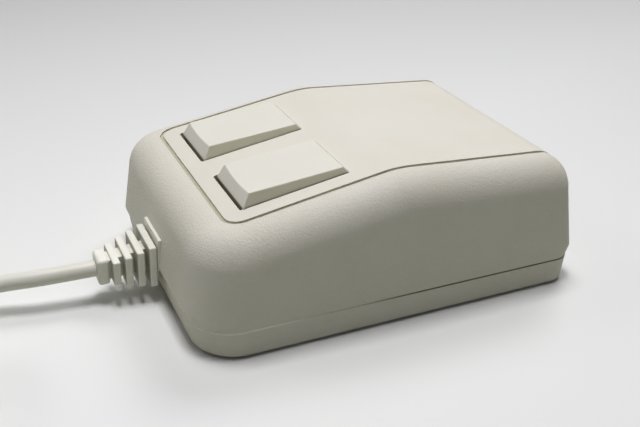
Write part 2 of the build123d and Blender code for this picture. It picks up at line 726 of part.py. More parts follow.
def circuit_board():
    """The board, cut out round the ball cage and the wheels."""
    length = BOARD_FRONT - BOARD_REAR
    plan = Pos(0, (BOARD_FRONT + BOARD_REAR) / 2) * RectangleRounded(BOARD_WIDTH, length, BOARD_CORNER)
    board = extrude(Pos(0, 0, BOARD_Z) * plan, amount=BOARD_THICK)
    board -= cylinder_z(0, BALL_Y, BOARD_BALL_R, 0, BOARD_TOP + 1)
    board -= wheel_slots()
    for x, y in board_bosses():
        board -= cylinder_z(x, y, BOARD_SCREW_R + BOARD_HOLE_CLEAR, 0, BOARD_TOP + 1)
    for side in (-1, 1):
        free = CASE_BOSS_R + BOARD_BOSS_CLEAR
        board -= cylinder_z(side * CASE_SCREW_X, CASE_SCREW_Y, free, 0, BOARD_TOP + 1)
        for lead in (-1, 0, 1):
            x, y = side * KEY_X, SWITCH_Y + lead * LEAD_PITCH
            board -= cylinder_z(x, y, LEAD_R + RUNNING, 0, BOARD_TOP + 1)
    for x, y in chip_lead_places():
        board -= cylinder_z(x, y, CHIP_LEAD_R + CHIP_HOLE_CLEAR, 0, BOARD_TOP + 1)
    return board


def board_screws():
    """Four screws that hold the board to the tray's posts."""
    screws = []
    for x, y in board_bosses():
        head = cylinder_z(x, y, BOARD_SCREW_HEAD, BOARD_TOP, BOARD_TOP + BOARD_SCREW_HEAD_TALL)
        tip = BOARD_TOP - BOARD_SCREW_LENGTH
        screws.append(head + cylinder_z(x, y, BOARD_SCREW_R, tip, BOARD_TOP + 0.5))
    return screws


def switch_body(side):
    """A microswitch with the well for its plunger."""
    x = side * KEY_X
    y = SWITCH_Y
    wide, long, tall = SWITCH_SIZE
    body = box(x - wide / 2, x + wide / 2, y - long / 2, y + long / 2, BOARD_TOP, BOARD_TOP + tall)
    body = chamfer(body.edges().filter_by(Axis.Z), SMALL_CHAMFER)
    well_x, well_y = PLUNGER_SIZE[0] / 2 + RUNNING, PLUNGER_SIZE[1] / 2 + RUNNING
    floor = BOARD_TOP + tall - PLUNGER_DEPTH - WELL_CLEAR
    return body - box(x - well_x, x + well_x, y - well_y, y + well_y, floor, BOARD_TOP + tall + 1)


def switch_plunger(side):
    """The plunger, at rest standing out of the switch."""
    x = side * KEY_X
    bottom = PLUNGER_TOP - PLUNGER_DEPTH
    half_x, half_y = PLUNGER_SIZE[0] / 2, PLUNGER_SIZE[1] / 2
    block = box(x - half_x, x + half_x, SWITCH_Y - half_y, SWITCH_Y + half_y, bottom, PLUNGER_TOP)
    return fillet(block.faces().sort_by(Axis.Z)[-1].edges(), PLUNGER_ROUND)


def switch_leads():
    """Solder legs of both switches, through the board."""
    legs = []
    for side in (-1, 1):
        for lead in (-1, 0, 1):
            y = SWITCH_Y + lead * LEAD_PITCH
            legs.append(cylinder_z(side * KEY_X, y, LEAD_R, BOARD_Z - LEAD_TAIL, BOARD_TOP))
    return legs


def chip_lead_places():
    """The plan places of the chip's legs."""
    first = CHIP_Y - (CHIP_PINS - 1) * CHIP_PITCH / 2
    return [(side * CHIP_ROW / 2, first + i * CHIP_PITCH) for side in (-1, 1) for i in range(CHIP_PINS)]


def signal_chip():
    """The chip that turns the sensors' light into pulses."""
    wide, long, tall = CHIP_SIZE
    bottom = BOARD_TOP + CHIP_LIFT
    body = box(-wide / 2, wide / 2, CHIP_Y - long / 2, CHIP_Y + long / 2, bottom, bottom + tall)
    body = chamfer(body.faces().sort_by(Axis.Z)[-1].edges(), 0.5)
    return body - cylinder_z(0, CHIP_Y + long / 2, 1.0, bottom + tall - CHIP_NOTCH, bottom + tall + 1)


def chip_leads():
    """The chip's legs, bent down into the board."""
    legs = []
    knee = BOARD_TOP + CHIP_LIFT + CHIP_SIZE[2] / 2
    for x, y in chip_lead_places():
        side = math.copysign(1, x)
        inner, outer = sorted((side * CHIP_SIZE[0] / 2, x + side * CHIP_LEAD_R))
        legs.append(
            box(inner, outer, y - CHIP_LEAD_R, y + CHIP_LEAD_R, knee - CHIP_LEAD_R, knee + CHIP_LEAD_TOP)
            + cylinder_z(x, y, CHIP_LEAD_R, BOARD_Z - 1, knee)
        )
    return legs


def resistor(x, y):
    """A resistor lying on the board with both wires bent down."""
    z = BOARD_TOP + RESISTOR_R
    lying = Plane(origin=(x, y, z), x_dir=(0, 1, 0), z_dir=(1, 0, 0))
    half = RESISTOR_SPAN / 2
    corners = ((x - half, y, BOARD_TOP), (x - half, y, z), (x + half, y, z), (x + half, y, BOARD_TOP))
    path = FilletPolyline(*corners, radius=2 * WIRE_R)
    wire = sweep(Plane(origin=path @ 0, z_dir=path % 0) * Circle(WIRE_R), path=path)
    return wire + cylinder_along(lying, RESISTOR_R, -RESISTOR_LENGTH / 2, RESISTOR_LENGTH / 2)


def resistors():
    """Two resistors on each side of the board."""
    return [resistor(side * RESISTOR_X, y) for side in (-1, 1) for y in RESISTOR_YS]


def capacitor():
    """The upright can beside the right switch."""
    x, y = CAPACITOR_AT
    can = cylinder_z(x, y, CAPACITOR_R, BOARD_TOP, BOARD_TOP + CAPACITOR_TALL)
    ring = cylinder_z(x, y, CAPACITOR_R + 1, BOARD_TOP + BEAD_LOW, BOARD_TOP + BEAD_HIGH)
    return can - (ring - cylinder_z(x, y, CAPACITOR_R - BEAD_DEPTH, BOARD_TOP, BOARD_TOP + 3))


def cable_header():
    """The board's pin header for the cord's wires."""
    wide, deep, tall = HEADER_SIZE
    body = box(-wide / 2, wide / 2, HEADER_Y - deep / 2, HEADER_Y + deep / 2, BOARD_TOP, BOARD_TOP + tall)
    half, bottom = HEADER_PLUG_SIZE[0] / 2 + RUNNING, BOARD_TOP + tall - HEADER_POCKET
    return body - box(-half, half, HEADER_POCKET_Y, HEADER_Y + deep, bottom, BOARD_TOP + tall + 1)


def cable_header_plug():
    """The wires' plug, pushed into the header from the front."""
    wide, deep, tall = HEADER_PLUG_SIZE
    y0 = HEADER_POCKET_Y + RUNNING
    bottom = BOARD_TOP + HEADER_SIZE[2] - HEADER_POCKET + RUNNING
    plug = box(-wide / 2, wide / 2, y0, y0 + deep, bottom, bottom + tall)
    return chamfer(plug.edges().filter_by(Axis.X).sort_by(Axis.Z)[-2:], SMALL_CHAMFER)


def inner_leads():
    """The cord's cores, from the strain relief's inner end to the header plug."""
    start_y = COLLAR_FRONT - COLLAR_THICK
    end_y = HEADER_POCKET_Y + RUNNING + HEADER_PLUG_SIZE[1]
    end_z = BOARD_TOP + HEADER_SIZE[2] - HEADER_POCKET + HEADER_PLUG_SIZE[2] / 2
    wires = []
    for i in range(STRAND_COUNT):
        x = (i - (STRAND_COUNT - 1) / 2) * STRAND_PITCH
        path = FilletPolyline(
            (0.5 * x, start_y, RELIEF_Z),
            (0.5 * x, start_y - STRAND_RUN, RELIEF_Z),
            (x, end_y + STRAND_RUN, end_z),
            (x, end_y, end_z),
            radius=STRAND_BEND,
        )
        wires.append(sweep(Plane(origin=path @ 0, z_dir=path % 0) * Circle(STRAND_R), path=path))
    return wires


# ---------------------------------------------------------------- ball, cage, encoders
def ball_core():
    """The steel ball under the rubber."""
    return Pos(*BALL_CENTRE) * Sphere(CORE_R)


def ball_coating():
    """The rubber skin that rolls on the desk."""
    return Pos(*BALL_CENTRE) * (Sphere(BALL_R) - Sphere(CORE_R))


def ball_retaining_ring():
    """The twist ring: a flat disc with a neck and two lugs that hook over the tray's floor."""
    top_disc = FOOT_STAND + RING_RECESS_DEPTH - RING_GAP
    neck_top = FLOOR_TOP + RING_GAP + LUG_RISE
    outer = PORT_R - RING_GAP
    low, mouth = FOOT_STAND + RING_SINK, RING_IN - RING_MOUTH
    ring = cylinder_z(0, BALL_Y, RING_RECESS_R - RING_GAP, low, top_disc)
    ring += cylinder_z(0, BALL_Y, outer, low, neck_top)
    ring -= cylinder_z(0, BALL_Y, outer - RING_NECK, top_disc, neck_top + 1)
    taper = Cone(mouth, RING_IN + RING_TAPER, top_disc - FOOT_STAND)
    taper = Pos(0, BALL_Y, (FOOT_STAND + top_disc) / 2) * taper
    ring -= taper + cylinder_z(0, BALL_Y, RING_IN + RING_TAPER, top_disc, neck_top + 1)
    ring -= cylinder_z(0, BALL_Y, mouth, 0, FOOT_STAND + RING_MOUTH_TALL)
    ring += arc_blocks(outer - LUG_ROOT, LUG_OUT, LUG_ANGLE, FLOOR_TOP + RING_GAP, neck_top, 0)
    for angle in (90, 270):
        a = math.radians(angle)
        x, y = RING_GRIP_AT * math.cos(a), BALL_Y + RING_GRIP_AT * math.sin(a)
        ring -= Pos(x, y, FOOT_STAND) * Rot(0, 0, angle + 90) * Box(*RING_GRIP)
    return ring


def bearing_post(plane, at):
    """One bearing post of a shaft, standing on the cage's foot."""
    half = BEARING_WIDTH / 2
    centre = plane.from_local_coords(Vector(0, 0, at))
    along_x = abs(plane.z_dir.X) > 0.5
    dx, dy = (BEARING_THICK / 2, half) if along_x else (half, BEARING_THICK / 2)
    post = box(centre.X - dx, centre.X + dx, centre.Y - dy, centre.Y + dy, FLOOR_TOP, BEARING_TOP)
    return post


def idler_plane():
    """The plane across the idler, normal along its axle, x pointing at the ball."""
    away = Vector(1, -1, 0).normalized()
    centre = Vector(*BALL_CENTRE) + away * (BALL_R + IDLER_R + ROLLER_GAP)
    return Plane(origin=centre, x_dir=away * -1, z_dir=Vector(1, 1, 0).normalized())


IDLER = idler_plane()


def on_idler(out, along, up=0):
    """A point from distances away from the ball, along the axle and up."""
    away, axle = IDLER.x_dir * -1, IDLER.z_dir
    return IDLER.origin + away * out + axle * along + Vector(0, 0, up)


def idler_box(out0, out1, along0, along1, up0, up1):
    """A box in the idler's own directions."""
    centre = on_idler((out0 + out1) / 2, (along0 + along1) / 2, (up0 + up1) / 2)
    block = Box(out1 - out0, along1 - along0, up1 - up0)
    return Pos(centre.X, centre.Y, centre.Z) * Rot(0, 0, -45) * block


def roller_frame():
    """Ball cage: stepped cup with windows for the rollers, bearing posts and the idler's pivot seat."""
    inner, outer = BALL_R + CAGE_GAP, BALL_R + CAGE_GAP + CAGE_WALL
    foot = cylinder_z(0, BALL_Y, CAGE_FLANGE_OUT, FLOOR_TOP, FLOOR_TOP + CAGE_FLANGE_THICK)
    foot += cylinder_z(0, BALL_Y, CAGE_FOOT_OUT, FLOOR_TOP, CAGE_STEP_Z + CAGE_WALL)
    cup = cylinder_z(0, BALL_Y, outer, CAGE_STEP_Z, BALL_R)
    dome = Pos(*BALL_CENTRE) * Sphere(outer)
    frame = foot + cup + above(dome, BALL_R)
    for plane, ats in ((FRONT_SHAFT, (-BEARING_AT, BEARING_AT)), (SIDE_SHAFT, (-BEARING_AT, BEARING_AT))):
        for at in ats:
            frame += bearing_post(plane, at)
    hub = on_idler(0, IDLER_PIVOT_AT)
    frame += cylinder_z(hub.X, hub.Y, IDLER_HUB_R, FLOOR_TOP, BALL_R - ARM_HEIGHT / 2 - ARM_GAP)
    frame -= cylinder_z(0, BALL_Y, CAGE_FOOT_IN, 0, CAGE_STEP_Z)
    frame -= cylinder_z(0, BALL_Y, inner, 0, BALL_R)
    frame -= Pos(*BALL_CENTRE) * Sphere(inner)
    frame -= cylinder_z(0, BALL_Y, CAGE_TOP_HOLE, BALL_R, 2 * BALL_R + 5)
    gap = ROLLER_R + 0.5
    reach = ROLLER_LENGTH / 2 + WINDOW_GAP
    y = BALL_Y + SHAFT_OFFSET
    frame -= box(-reach, reach, y - 3 * gap, y + gap, BALL_R - gap, BALL_R + gap)
    x = -SHAFT_OFFSET
    frame -= box(x - gap, x + 3 * gap, BALL_Y - reach, BALL_Y + reach, BALL_R - gap, BALL_R + gap)
    for plane in (FRONT_SHAFT, SIDE_SHAFT):
        frame -= cylinder_along(plane, SHAFT_R + RUNNING, -BEARING_AT - 4, WHEEL_AT)
    side = IDLER_LENGTH / 2 + ARM_GAP + ARM_CHEEK + ARM_CLEAR
    up = IDLER_R + WINDOW_GAP
    frame -= idler_box(*IDLER_WINDOW, -side, side, -up, up)
    return frame - cylinder_z(hub.X, hub.Y, IDLER_PIVOT_R, FLOOR_TOP + 1, BALL_R + 5)


def encoder_shaft(plane):
    """A shaft with the roller that the ball turns."""
    start = -BEARING_AT - BEARING_THICK / 2 - 1.0
    end = WHEEL_AT + WHEEL_HUB_LENGTH / 2 + SHAFT_PAST_HUB
    shaft = cylinder_along(plane, SHAFT_R, start, end)
    return shaft + cylinder_along(plane, ROLLER_R, -ROLLER_LENGTH / 2, ROLLER_LENGTH / 2)


def encoder_wheel(plane):
    """The slotted wheel that chops the light."""
    half, hub_half = WHEEL_THICK / 2, WHEEL_HUB_LENGTH / 2
    wheel = cylinder_along(plane, WHEEL_R, WHEEL_AT - half, WHEEL_AT + half)
    wheel += cylinder_along(plane, WHEEL_HUB_R, WHEEL_AT - hub_half, WHEEL_AT + hub_half)
    width = math.pi * SLOT_IN / WHEEL_SLOTS
    slot = Pos((SLOT_IN + SLOT_OUT) / 2, 0, WHEEL_AT) * Box(SLOT_OUT - SLOT_IN, width, 2 * WHEEL_THICK)
    slots = [plane * Rot(0, 0, i * 360 / WHEEL_SLOTS) * slot for i in range(WHEEL_SLOTS)]
    return wheel - slots - cylinder_along(plane, SHAFT_R, 0, 2 * WHEEL_AT)


def sensor(plane, side, lens_out):
    """Half of a light gate beside a wheel. Its lens faces the wheel."""
    beam, across, tall = SENSOR_SIZE
    wheel = plane.from_local_coords(Vector(0, 0, WHEEL_AT))
    normal = plane.z_dir
    offset_dir = Vector(0, 1, 0) if abs(normal.X) > 0.5 else Vector(-1, 0, 0)
    face = wheel + normal * (side * SENSOR_GAP) + offset_dir * SENSOR_OFFSET
    centre = face + normal * (side * (beam / 2 + lens_out))
    dx, dy = (beam / 2, across / 2) if abs(normal.X) > 0.5 else (across / 2, beam / 2)
    body = box(centre.X - dx, centre.X + dx, centre.Y - dy, centre.Y + dy, BOARD_TOP, BOARD_TOP + tall)
    body = chamfer(body.faces().sort_by(Axis.Z)[-1].edges(), SMALL_CHAMFER)
    aim = Plane(origin=(face.X, face.Y, BALL_R), z_dir=normal * side)
    return body + cylinder_along(aim, LENS_R, 0, lens_out + LENS_SEAT)


def idler_roller():
    """The sprung roller."""
    roller = cylinder_along(IDLER, IDLER_R, -IDLER_LENGTH / 2, IDLER_LENGTH / 2)
    roller -= cylinder_along(IDLER, IDLER_AXLE_R + RUNNING, -IDLER_LENGTH, IDLER_LENGTH)
    return chamfer(roller.edges().filter_by(GeomType.CIRCLE).group_by(lambda e: e.radius)[-1], SMALL_CHAMFER)


def idler_axle():
    """The pin that the roller turns on, through both cheeks of the arm."""
    reach = IDLER_LENGTH / 2 + ARM_GAP + ARM_CHEEK
    return cylinder_along(IDLER, IDLER_AXLE_R, -reach, reach)


def idler_arm():
    """The forked arm with its pivot hub."""
    inner = IDLER_LENGTH / 2 + ARM_GAP
    outer = inner + ARM_CHEEK
    up = ARM_HEIGHT / 2
    back = IDLER_R + ARM_CLEAR
    arm = idler_box(-ARM_NOSE, back + ARM_BACK, inner, outer, -up, up)
    arm += idler_box(-ARM_NOSE, back + ARM_BACK, -outer, -inner, -up, up)
    arm += idler_box(back, back + ARM_BACK, -outer, outer, -up, up)
    arm -= cylinder_along(IDLER, IDLER_AXLE_R + RUNNING, -2 * outer, 2 * outer)
    arm += idler_box(*ARM_STEM, outer, IDLER_PIVOT_AT, -up, up)
    hub = on_idler(0, IDLER_PIVOT_AT)
    arm += cylinder_z(hub.X, hub.Y, IDLER_HUB_R, BALL_R - up, BALL_R + up)
    return arm - cylinder_z(hub.X, hub.Y, IDLER_PIVOT_R + RUNNING, 0, 2 * BALL_R)


def idler_pivot_pin():
    """The upright pin of the arm, pressed into the cage's foot, with a head above the spring."""
    hub = on_idler(0, IDLER_PIVOT_AT)
    top = spring_base() + SPRING_TURNS * SPRING_PITCH + PIN_HEAD_GAP
    pin = cylinder_z(hub.X, hub.Y, IDLER_PIVOT_R, FLOOR_TOP + 1, top)
    return pin + cylinder_z(hub.X, hub.Y, PIN_HEAD_SPREAD * SPRING_R, top, top + PIN_HEAD_TALL)


def spring_base():
    """The height of the spring's lowest turn."""
    return BALL_R + ARM_HEIGHT / 2 + ARM_GAP + SPRING_WIRE_R


def idler_spring():
    """The torsion spring round the pin."""
    hub = on_idler(0, IDLER_PIVOT_AT)
    helix = Helix(SPRING_PITCH, SPRING_TURNS * SPRING_PITCH, SPRING_R)
    wire = sweep(Plane(origin=helix @ 0, z_dir=helix % 0) * Circle(SPRING_WIRE_R), path=helix)
    return Pos(hub.X, hub.Y, spring_base()) * wire


# ---------------------------------------------------------------- cord
def block(half, tall, y0, y1, z, round_by=0.0):
    """A block across the cord's axis, centred at height z, with every edge rounded."""
    shape = box(-half, half, y0, y1, z - tall / 2, z + tall / 2)
    return fillet(shape.edges(), round_by) if round_by else shape


def relief_plate():
    """The plate against the case's front face, thicker towards its top."""
    front = face_y(SKIRT_Z) + PLATE_THICK_LOW
    profile = Polyline(
        (face_y(PLATE_BOTTOM), PLATE_BOTTOM),
        (front, PLATE_BOTTOM),
        (front, SKIRT_Z),
        (face_y(PLATE_TOP) + PLATE_THICK_TOP, PLATE_TOP),
        (face_y(PLATE_TOP), PLATE_TOP),
        (face_y(SKIRT_Z), SKIRT_Z),
        close=True,
    )
    plate = extrude(Plane.YZ * make_face(profile), amount=PLATE_HALF, both=True)
    brow = plate.edges().filter_by(Axis.X).sort_by(Axis.Z)[-2:].sort_by(Axis.Y)[-1]
    return fillet(brow, PLATE_ROUND)


def relief_fins():
    """The row of rectangular fins, each smaller and a little lower than the one behind it."""
    fins = []
    for i in range(FIN_COUNT):
        front = FIN_FIRST + i * FIN_PITCH
        half = share(FIN_HALF_NEAR, FIN_HALF_FAR, i, FIN_COUNT - 1)
        tall = share(FIN_TALL_NEAR, FIN_TALL_FAR, i, FIN_COUNT - 1)
        axis_z = RELIEF_Z - AXIS_DROP * i / FIN_COUNT
        fins.append(block(half, tall, front - FIN_THICK, front, axis_z, FIN_ROUND))
    return fins


def strain_relief():
    """Moulded boot: seat plate, four rectangular fins on a tapering spine, and the nose round the cord."""
    spine_z = RELIEF_Z + SPINE_LIFT
    spine_rear = face_y(spine_z + SPINE_TALL_NEAR / 2) + SPINE_CLEAR
    near = Plane(origin=(0, spine_rear, spine_z), x_dir=(1, 0, 0), z_dir=(0, 1, 0))
    far = Plane(origin=(0, NOSE_FRONT - NOSE_THICK / 2, NOSE_Z), x_dir=(1, 0, 0), z_dir=(0, 1, 0))
    near_face = near * Rectangle(2 * SPINE_HALF, SPINE_TALL_NEAR)
    far_face = far * Rectangle(2 * SPINE_HALF, SPINE_TALL_FAR)
    boot = relief_plate() + loft([near_face, far_face], ruled=True)
    boot += block(NECK_HALF, NECK_TALL, COLLAR_FRONT - NECK_BITE, face_y(SKIRT_Z), RELIEF_Z)
    boot += block(COLLAR_HALF, COLLAR_TALL, COLLAR_FRONT - COLLAR_THICK, COLLAR_FRONT, RELIEF_Z)
    boot += block(NOSE_HALF, NOSE_TALL, NOSE_FRONT - NOSE_THICK, NOSE_FRONT, NOSE_Z, NOSE_ROUND)
    return boot + relief_fins()


def cord_tube(points):
    """A tube along straight runs joined by tangent arcs, as large as the runs allow."""
    radii = []
    for before, here, after in zip(points, points[1:], points[2:]):
        into, out = Vector(here) - Vector(before), Vector(after) - Vector(here)
        turn = math.radians(into.get_angle(out))
        radii.append(ARC_SHARE * min(into.length, out.length) / math.tan(turn / 2))
    path = FilletPolyline(*points, radius=radii)
    print("cord radii", [round(r, 1) for r in radii], "length", round(path.length, 1))
    section = Plane(origin=path @ 0, z_dir=path % 0) * Circle(CORD_R)
    tube = sweep(section, path=path)
    print("tube volume", round(tube.volume, 1), "of", round(math.pi * CORD_R**2 * path.length, 1))
    return tube


def bundle(grow):
    """The outer shape of the put-away turns, grown by grow."""
    x, y = COIL_CENTRE
    outer, inner = COIL_RADII[-1] + CORD_R + grow, COIL_RADII[0] - CORD_R - grow
    low, high = COIL_LIFT - grow, COIL_LIFT + COIL_LAYERS * 2 * CORD_R + grow
    ring = cylinder_z(x, y, outer, low, high) - cylinder_z(x, y, inner, low - 1, high + 1)
    return fillet(ring.edges(), BUNDLE_ROUND * CORD_R + grow)


def cable_coil():
    """The put-away turns as one solid."""
    print("coil length", round(2 * math.pi * sum(COIL_RADII) * COIL_LAYERS, 1))
    return bundle(0)


def cable_tie():
    """A flat tie round the bundle of turns."""
    x, y = COIL_CENTRE
    around = bundle(TIE_THICK) - bundle(TIE_GAP)
    reach = COIL_RADII[-1] + CORD_R + 1
    band = box(0, reach, -TIE_WIDTH / 2, TIE_WIDTH / 2, -1, TIE_TALL)
    return around & (Pos(x, y, 0) * Rot(0, 0, TIE_ANGLE) * band)


# ---------------------------------------------------------------- plug
PLUG_Z = HOOD_TALL / 2


def across_plug(y):
    """The plane across the plug at y, facing along the cord."""
    return Plane(origin=(PLUG_X, y, PLUG_Z), x_dir=(1, 0, 0), z_dir=(0, 1, 0))


def plug_hood():
    """Moulded hood that narrows to the cord, with finger grips."""
    end = PLUG_FACE_Y + HOOD_LENGTH
    knee = PLUG_FACE_Y + HOOD_LENGTH * HOOD_KNEE
    front = across_plug(PLUG_FACE_Y) * RectangleRounded(HOOD_WIDTH, HOOD_TALL, HOOD_ROUND)
    middle = across_plug(knee) * RectangleRounded(HOOD_WIDTH, HOOD_TALL, HOOD_ROUND)
    rear = across_plug(end) * RectangleRounded(HOOD_END_WIDTH, HOOD_END_TALL, HOOD_ROUND)
    hood = loft([front, middle], ruled=True) + loft([middle, rear], ruled=True)
    for i in range(GRIP_COUNT):
        y = PLUG_FACE_Y + GRIP_FIRST + i * GRIP_PITCH
        for sign in (-1, 1):
            z = PLUG_Z + sign * HOOD_TALL / 2
            left, right = PLUG_X - GRIP_HALF, PLUG_X + GRIP_HALF
            hood -= box(left, right, y, y + GRIP_WIDTH, z - GRIP_DEPTH, z + GRIP_DEPTH)
    tail_low = across_plug(end - 0.5) * Circle(HOOD_TAIL_R)
    tail_high = across_plug(end + HOOD_TAIL) * Circle(HOOD_TAIL_END_R)
    return hood + loft([tail_low, tail_high], ruled=True)


def shell_face(shrink):
    """The slanted connector outline, drawn in by shrink."""
    slant = SHELL_TALL * math.tan(math.radians(SHELL_SLANT))
    top, low = SHELL_WIDTH / 2, SHELL_WIDTH / 2 - slant
    half = SHELL_TALL / 2
    outline = make_face(Polyline((-low, -half), (low, -half), (top, half), (-top, half), close=True))
    outline = fillet(outline.vertices(), SHELL_ROUND)
    return offset(outline, amount=-shrink) if shrink else outline


def plug_shell():
    """Pressed metal flange and connector shell."""
    front = PLUG_FACE_Y - FLANGE_THICK
    plate = RectangleRounded(FLANGE_WIDTH, FLANGE_TALL, FLANGE_ROUND)
    flange = extrude(across_plug(front) * plate, amount=FLANGE_THICK)
    tube = extrude(across_plug(front - SHELL_LENGTH) * shell_face(0), amount=SHELL_LENGTH + FLANGE_THICK)
    bore = extrude(across_plug(front - SHELL_LENGTH - 1) * shell_face(SHELL_WALL), amount=SHELL_LENGTH + 5)
    return flange + tube - bore


def contact_places():
    """The nine contacts: five above four."""
    places = [((i - 2) * PIN_PITCH, PIN_ROW / 2) for i in range(5)]
    return places + [((i - 1.5) * PIN_PITCH, -PIN_ROW / 2) for i in range(4)]


def plug_insert():
    """The insulator that holds the contacts."""
    front = PLUG_FACE_Y - FLANGE_THICK - SHELL_LENGTH + INSERT_SINK
    body = extrude(across_plug(front) * shell_face(SHELL_WALL + INSERT_GAP), amount=PLUG_FACE_Y - front)
    for x, z in contact_places():
        hole = across_plug(front - 1) * Pos(x, z) * Circle(PIN_HOLE_R)
        body -= extrude(hole, amount=CONTACT_LENGTH + CONTACT_HOLE_SPARE)
    return body


def plug_contacts():
    """Nine socket contacts, a little below the insulator's face."""
    front = PLUG_FACE_Y - FLANGE_THICK - SHELL_LENGTH + INSERT_SINK + CONTACT_SINK
    contacts = []
    for x, z in contact_places():
        ring = Circle(PIN_HOLE_R - RUNNING) - Circle(CONTACT_BORE_R)
        contacts.append(extrude(across_plug(front) * Pos(x, z) * ring, amount=CONTACT_LENGTH))
    return contacts


# ---------------------------------------------------------------- output
def group(solids):
    """Several loose solids in one node."""
    return Compound(children=[Compound(list(s.solids())) for s in solids])


write("upper_case", upper_case())
write("base_cover", base_cover())
write("glide_feet", group(glide_feet()))
write("case_screws", group(case_screws()))
write("ball_retaining_ring", ball_retaining_ring())
write("button_hinge_pins", group(button_hinge_pins()))
write("circuit_board", circuit_board())
write("board_screws", group(board_screws()))
for name, side in (("left", -1), ("right", 1)):
    write(f"{name}_button", button(side))
    write(f"{name}_switch_body", switch_body(side))
    write(f"{name}_switch_plunger", switch_plunger(side))
write("switch_leads", group(switch_leads()))
write("signal_chip", signal_chip())
write("chip_leads", group(chip_leads()))
write("resistors", group(resistors()))
write("capacitor", capacitor())
write("cable_header", cable_header())
write("cable_header_plug", cable_header_plug())
write("inner_leads", group(inner_leads()))
write("ball_core", ball_core())
write("ball_coating", ball_coating())
write("roller_frame", roller_frame())
for name, plane in (("x", FRONT_SHAFT), ("y", SIDE_SHAFT)):
    write(f"{name}_encoder_shaft", encoder_shaft(plane))
    write(f"{name}_encoder_wheel", encoder_wheel(plane))
    write(f"{name}_infrared_emitter", sensor(plane, -1, LENS_LENGTH))
    write(f"{name}_infrared_detector", sensor(plane, 1, DETECTOR_LENS))
write("idler_roller", idler_roller())
write("idler_axle", idler_axle())
write("idler_arm", idler_arm())
write("idler_pivot_pin", idler_pivot_pin())
write("idler_spring", idler_spring())
write("strain_relief", strain_relief())
cord_exit = (0, NOSE_FRONT, NOSE_Z)
write("cable", cord_tube((cord_exit, *LEAD_IN)))
plug_end = (PLUG_X, PLUG_FACE_Y + HOOD_LENGTH + HOOD_TAIL, PLUG_Z)
write("cable_tail", cord_tube((*LEAD_OUT, plug_end)))
write("cable_coil", cable_coil())
write("cable_tie", cable_tie())
write("plug_hood", plug_hood())
write("plug_shell", plug_shell())
write("plug_insert", plug_insert())
write("plug_contacts", group(plug_contacts()))
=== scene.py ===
"""Looks of the two-button ball mouse: finishes, the free cord, the desk, the light and the camera.

Lengths are metres, and millimetres on the cord. +X is to the user's right, +Y points away from the user,
+Z is up.
"""

import logging
import math
from dataclasses import dataclass
from enum import Enum
from functools import cached_property

import bpy
from mathutils import Matrix, Vector


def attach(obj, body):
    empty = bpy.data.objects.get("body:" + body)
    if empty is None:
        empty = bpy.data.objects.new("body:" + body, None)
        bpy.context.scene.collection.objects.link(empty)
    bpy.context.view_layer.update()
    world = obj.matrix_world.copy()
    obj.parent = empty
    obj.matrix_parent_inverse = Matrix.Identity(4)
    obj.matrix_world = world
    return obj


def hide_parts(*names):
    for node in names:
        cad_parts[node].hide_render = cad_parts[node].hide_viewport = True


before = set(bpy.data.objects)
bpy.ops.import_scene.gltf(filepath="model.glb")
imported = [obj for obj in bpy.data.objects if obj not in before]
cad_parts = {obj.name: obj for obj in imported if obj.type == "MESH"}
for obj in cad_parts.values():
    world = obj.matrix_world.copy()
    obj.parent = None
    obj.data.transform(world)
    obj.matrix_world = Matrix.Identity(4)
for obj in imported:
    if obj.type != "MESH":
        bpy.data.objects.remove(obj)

Colour = tuple[float, float, float]
Point = tuple[float, float, float]
Span = tuple[float, float]
Pattern = tuple[float, float, float]
Node = bpy.types.Node
Socket = bpy.types.NodeSocket

LOG = logging.getLogger("mouse")
MM = 0.001
# The flat that the keys rise from starts at the crown and falls towards the cord, at a slope in degrees.
CROWN = (0.0, 1.1 * MM, 36.3 * MM)
FRONT_SLOPE = 10.76
SEAM_HEIGHT = 7.08 * MM
UNIT = (0.0, 1.0)
PURE_WHITE = (1.0, 1.0, 1.0)
# Painted shade for the dark line in the seam and down in the slits round the keys.
SLIT_SHADE = (0.17, 0.135, 0.055)


class Sum(Enum):
    """Operations of a Math node."""

    ADD = "ADD"
    LESS = "SUBTRACT"
    TIMES = "MULTIPLY"
    OVER = "DIVIDE"
    MAX = "MAXIMUM"
    MIN = "MINIMUM"
    SIZE = "ABSOLUTE"
    ROOT = "SQRT"


class VectorSum(Enum):
    """Operations of a Vector Math node."""

    ADD = "ADD"
    SCALE = "SCALE"
    DOT = "DOT_PRODUCT"
    LENGTH = "LENGTH"


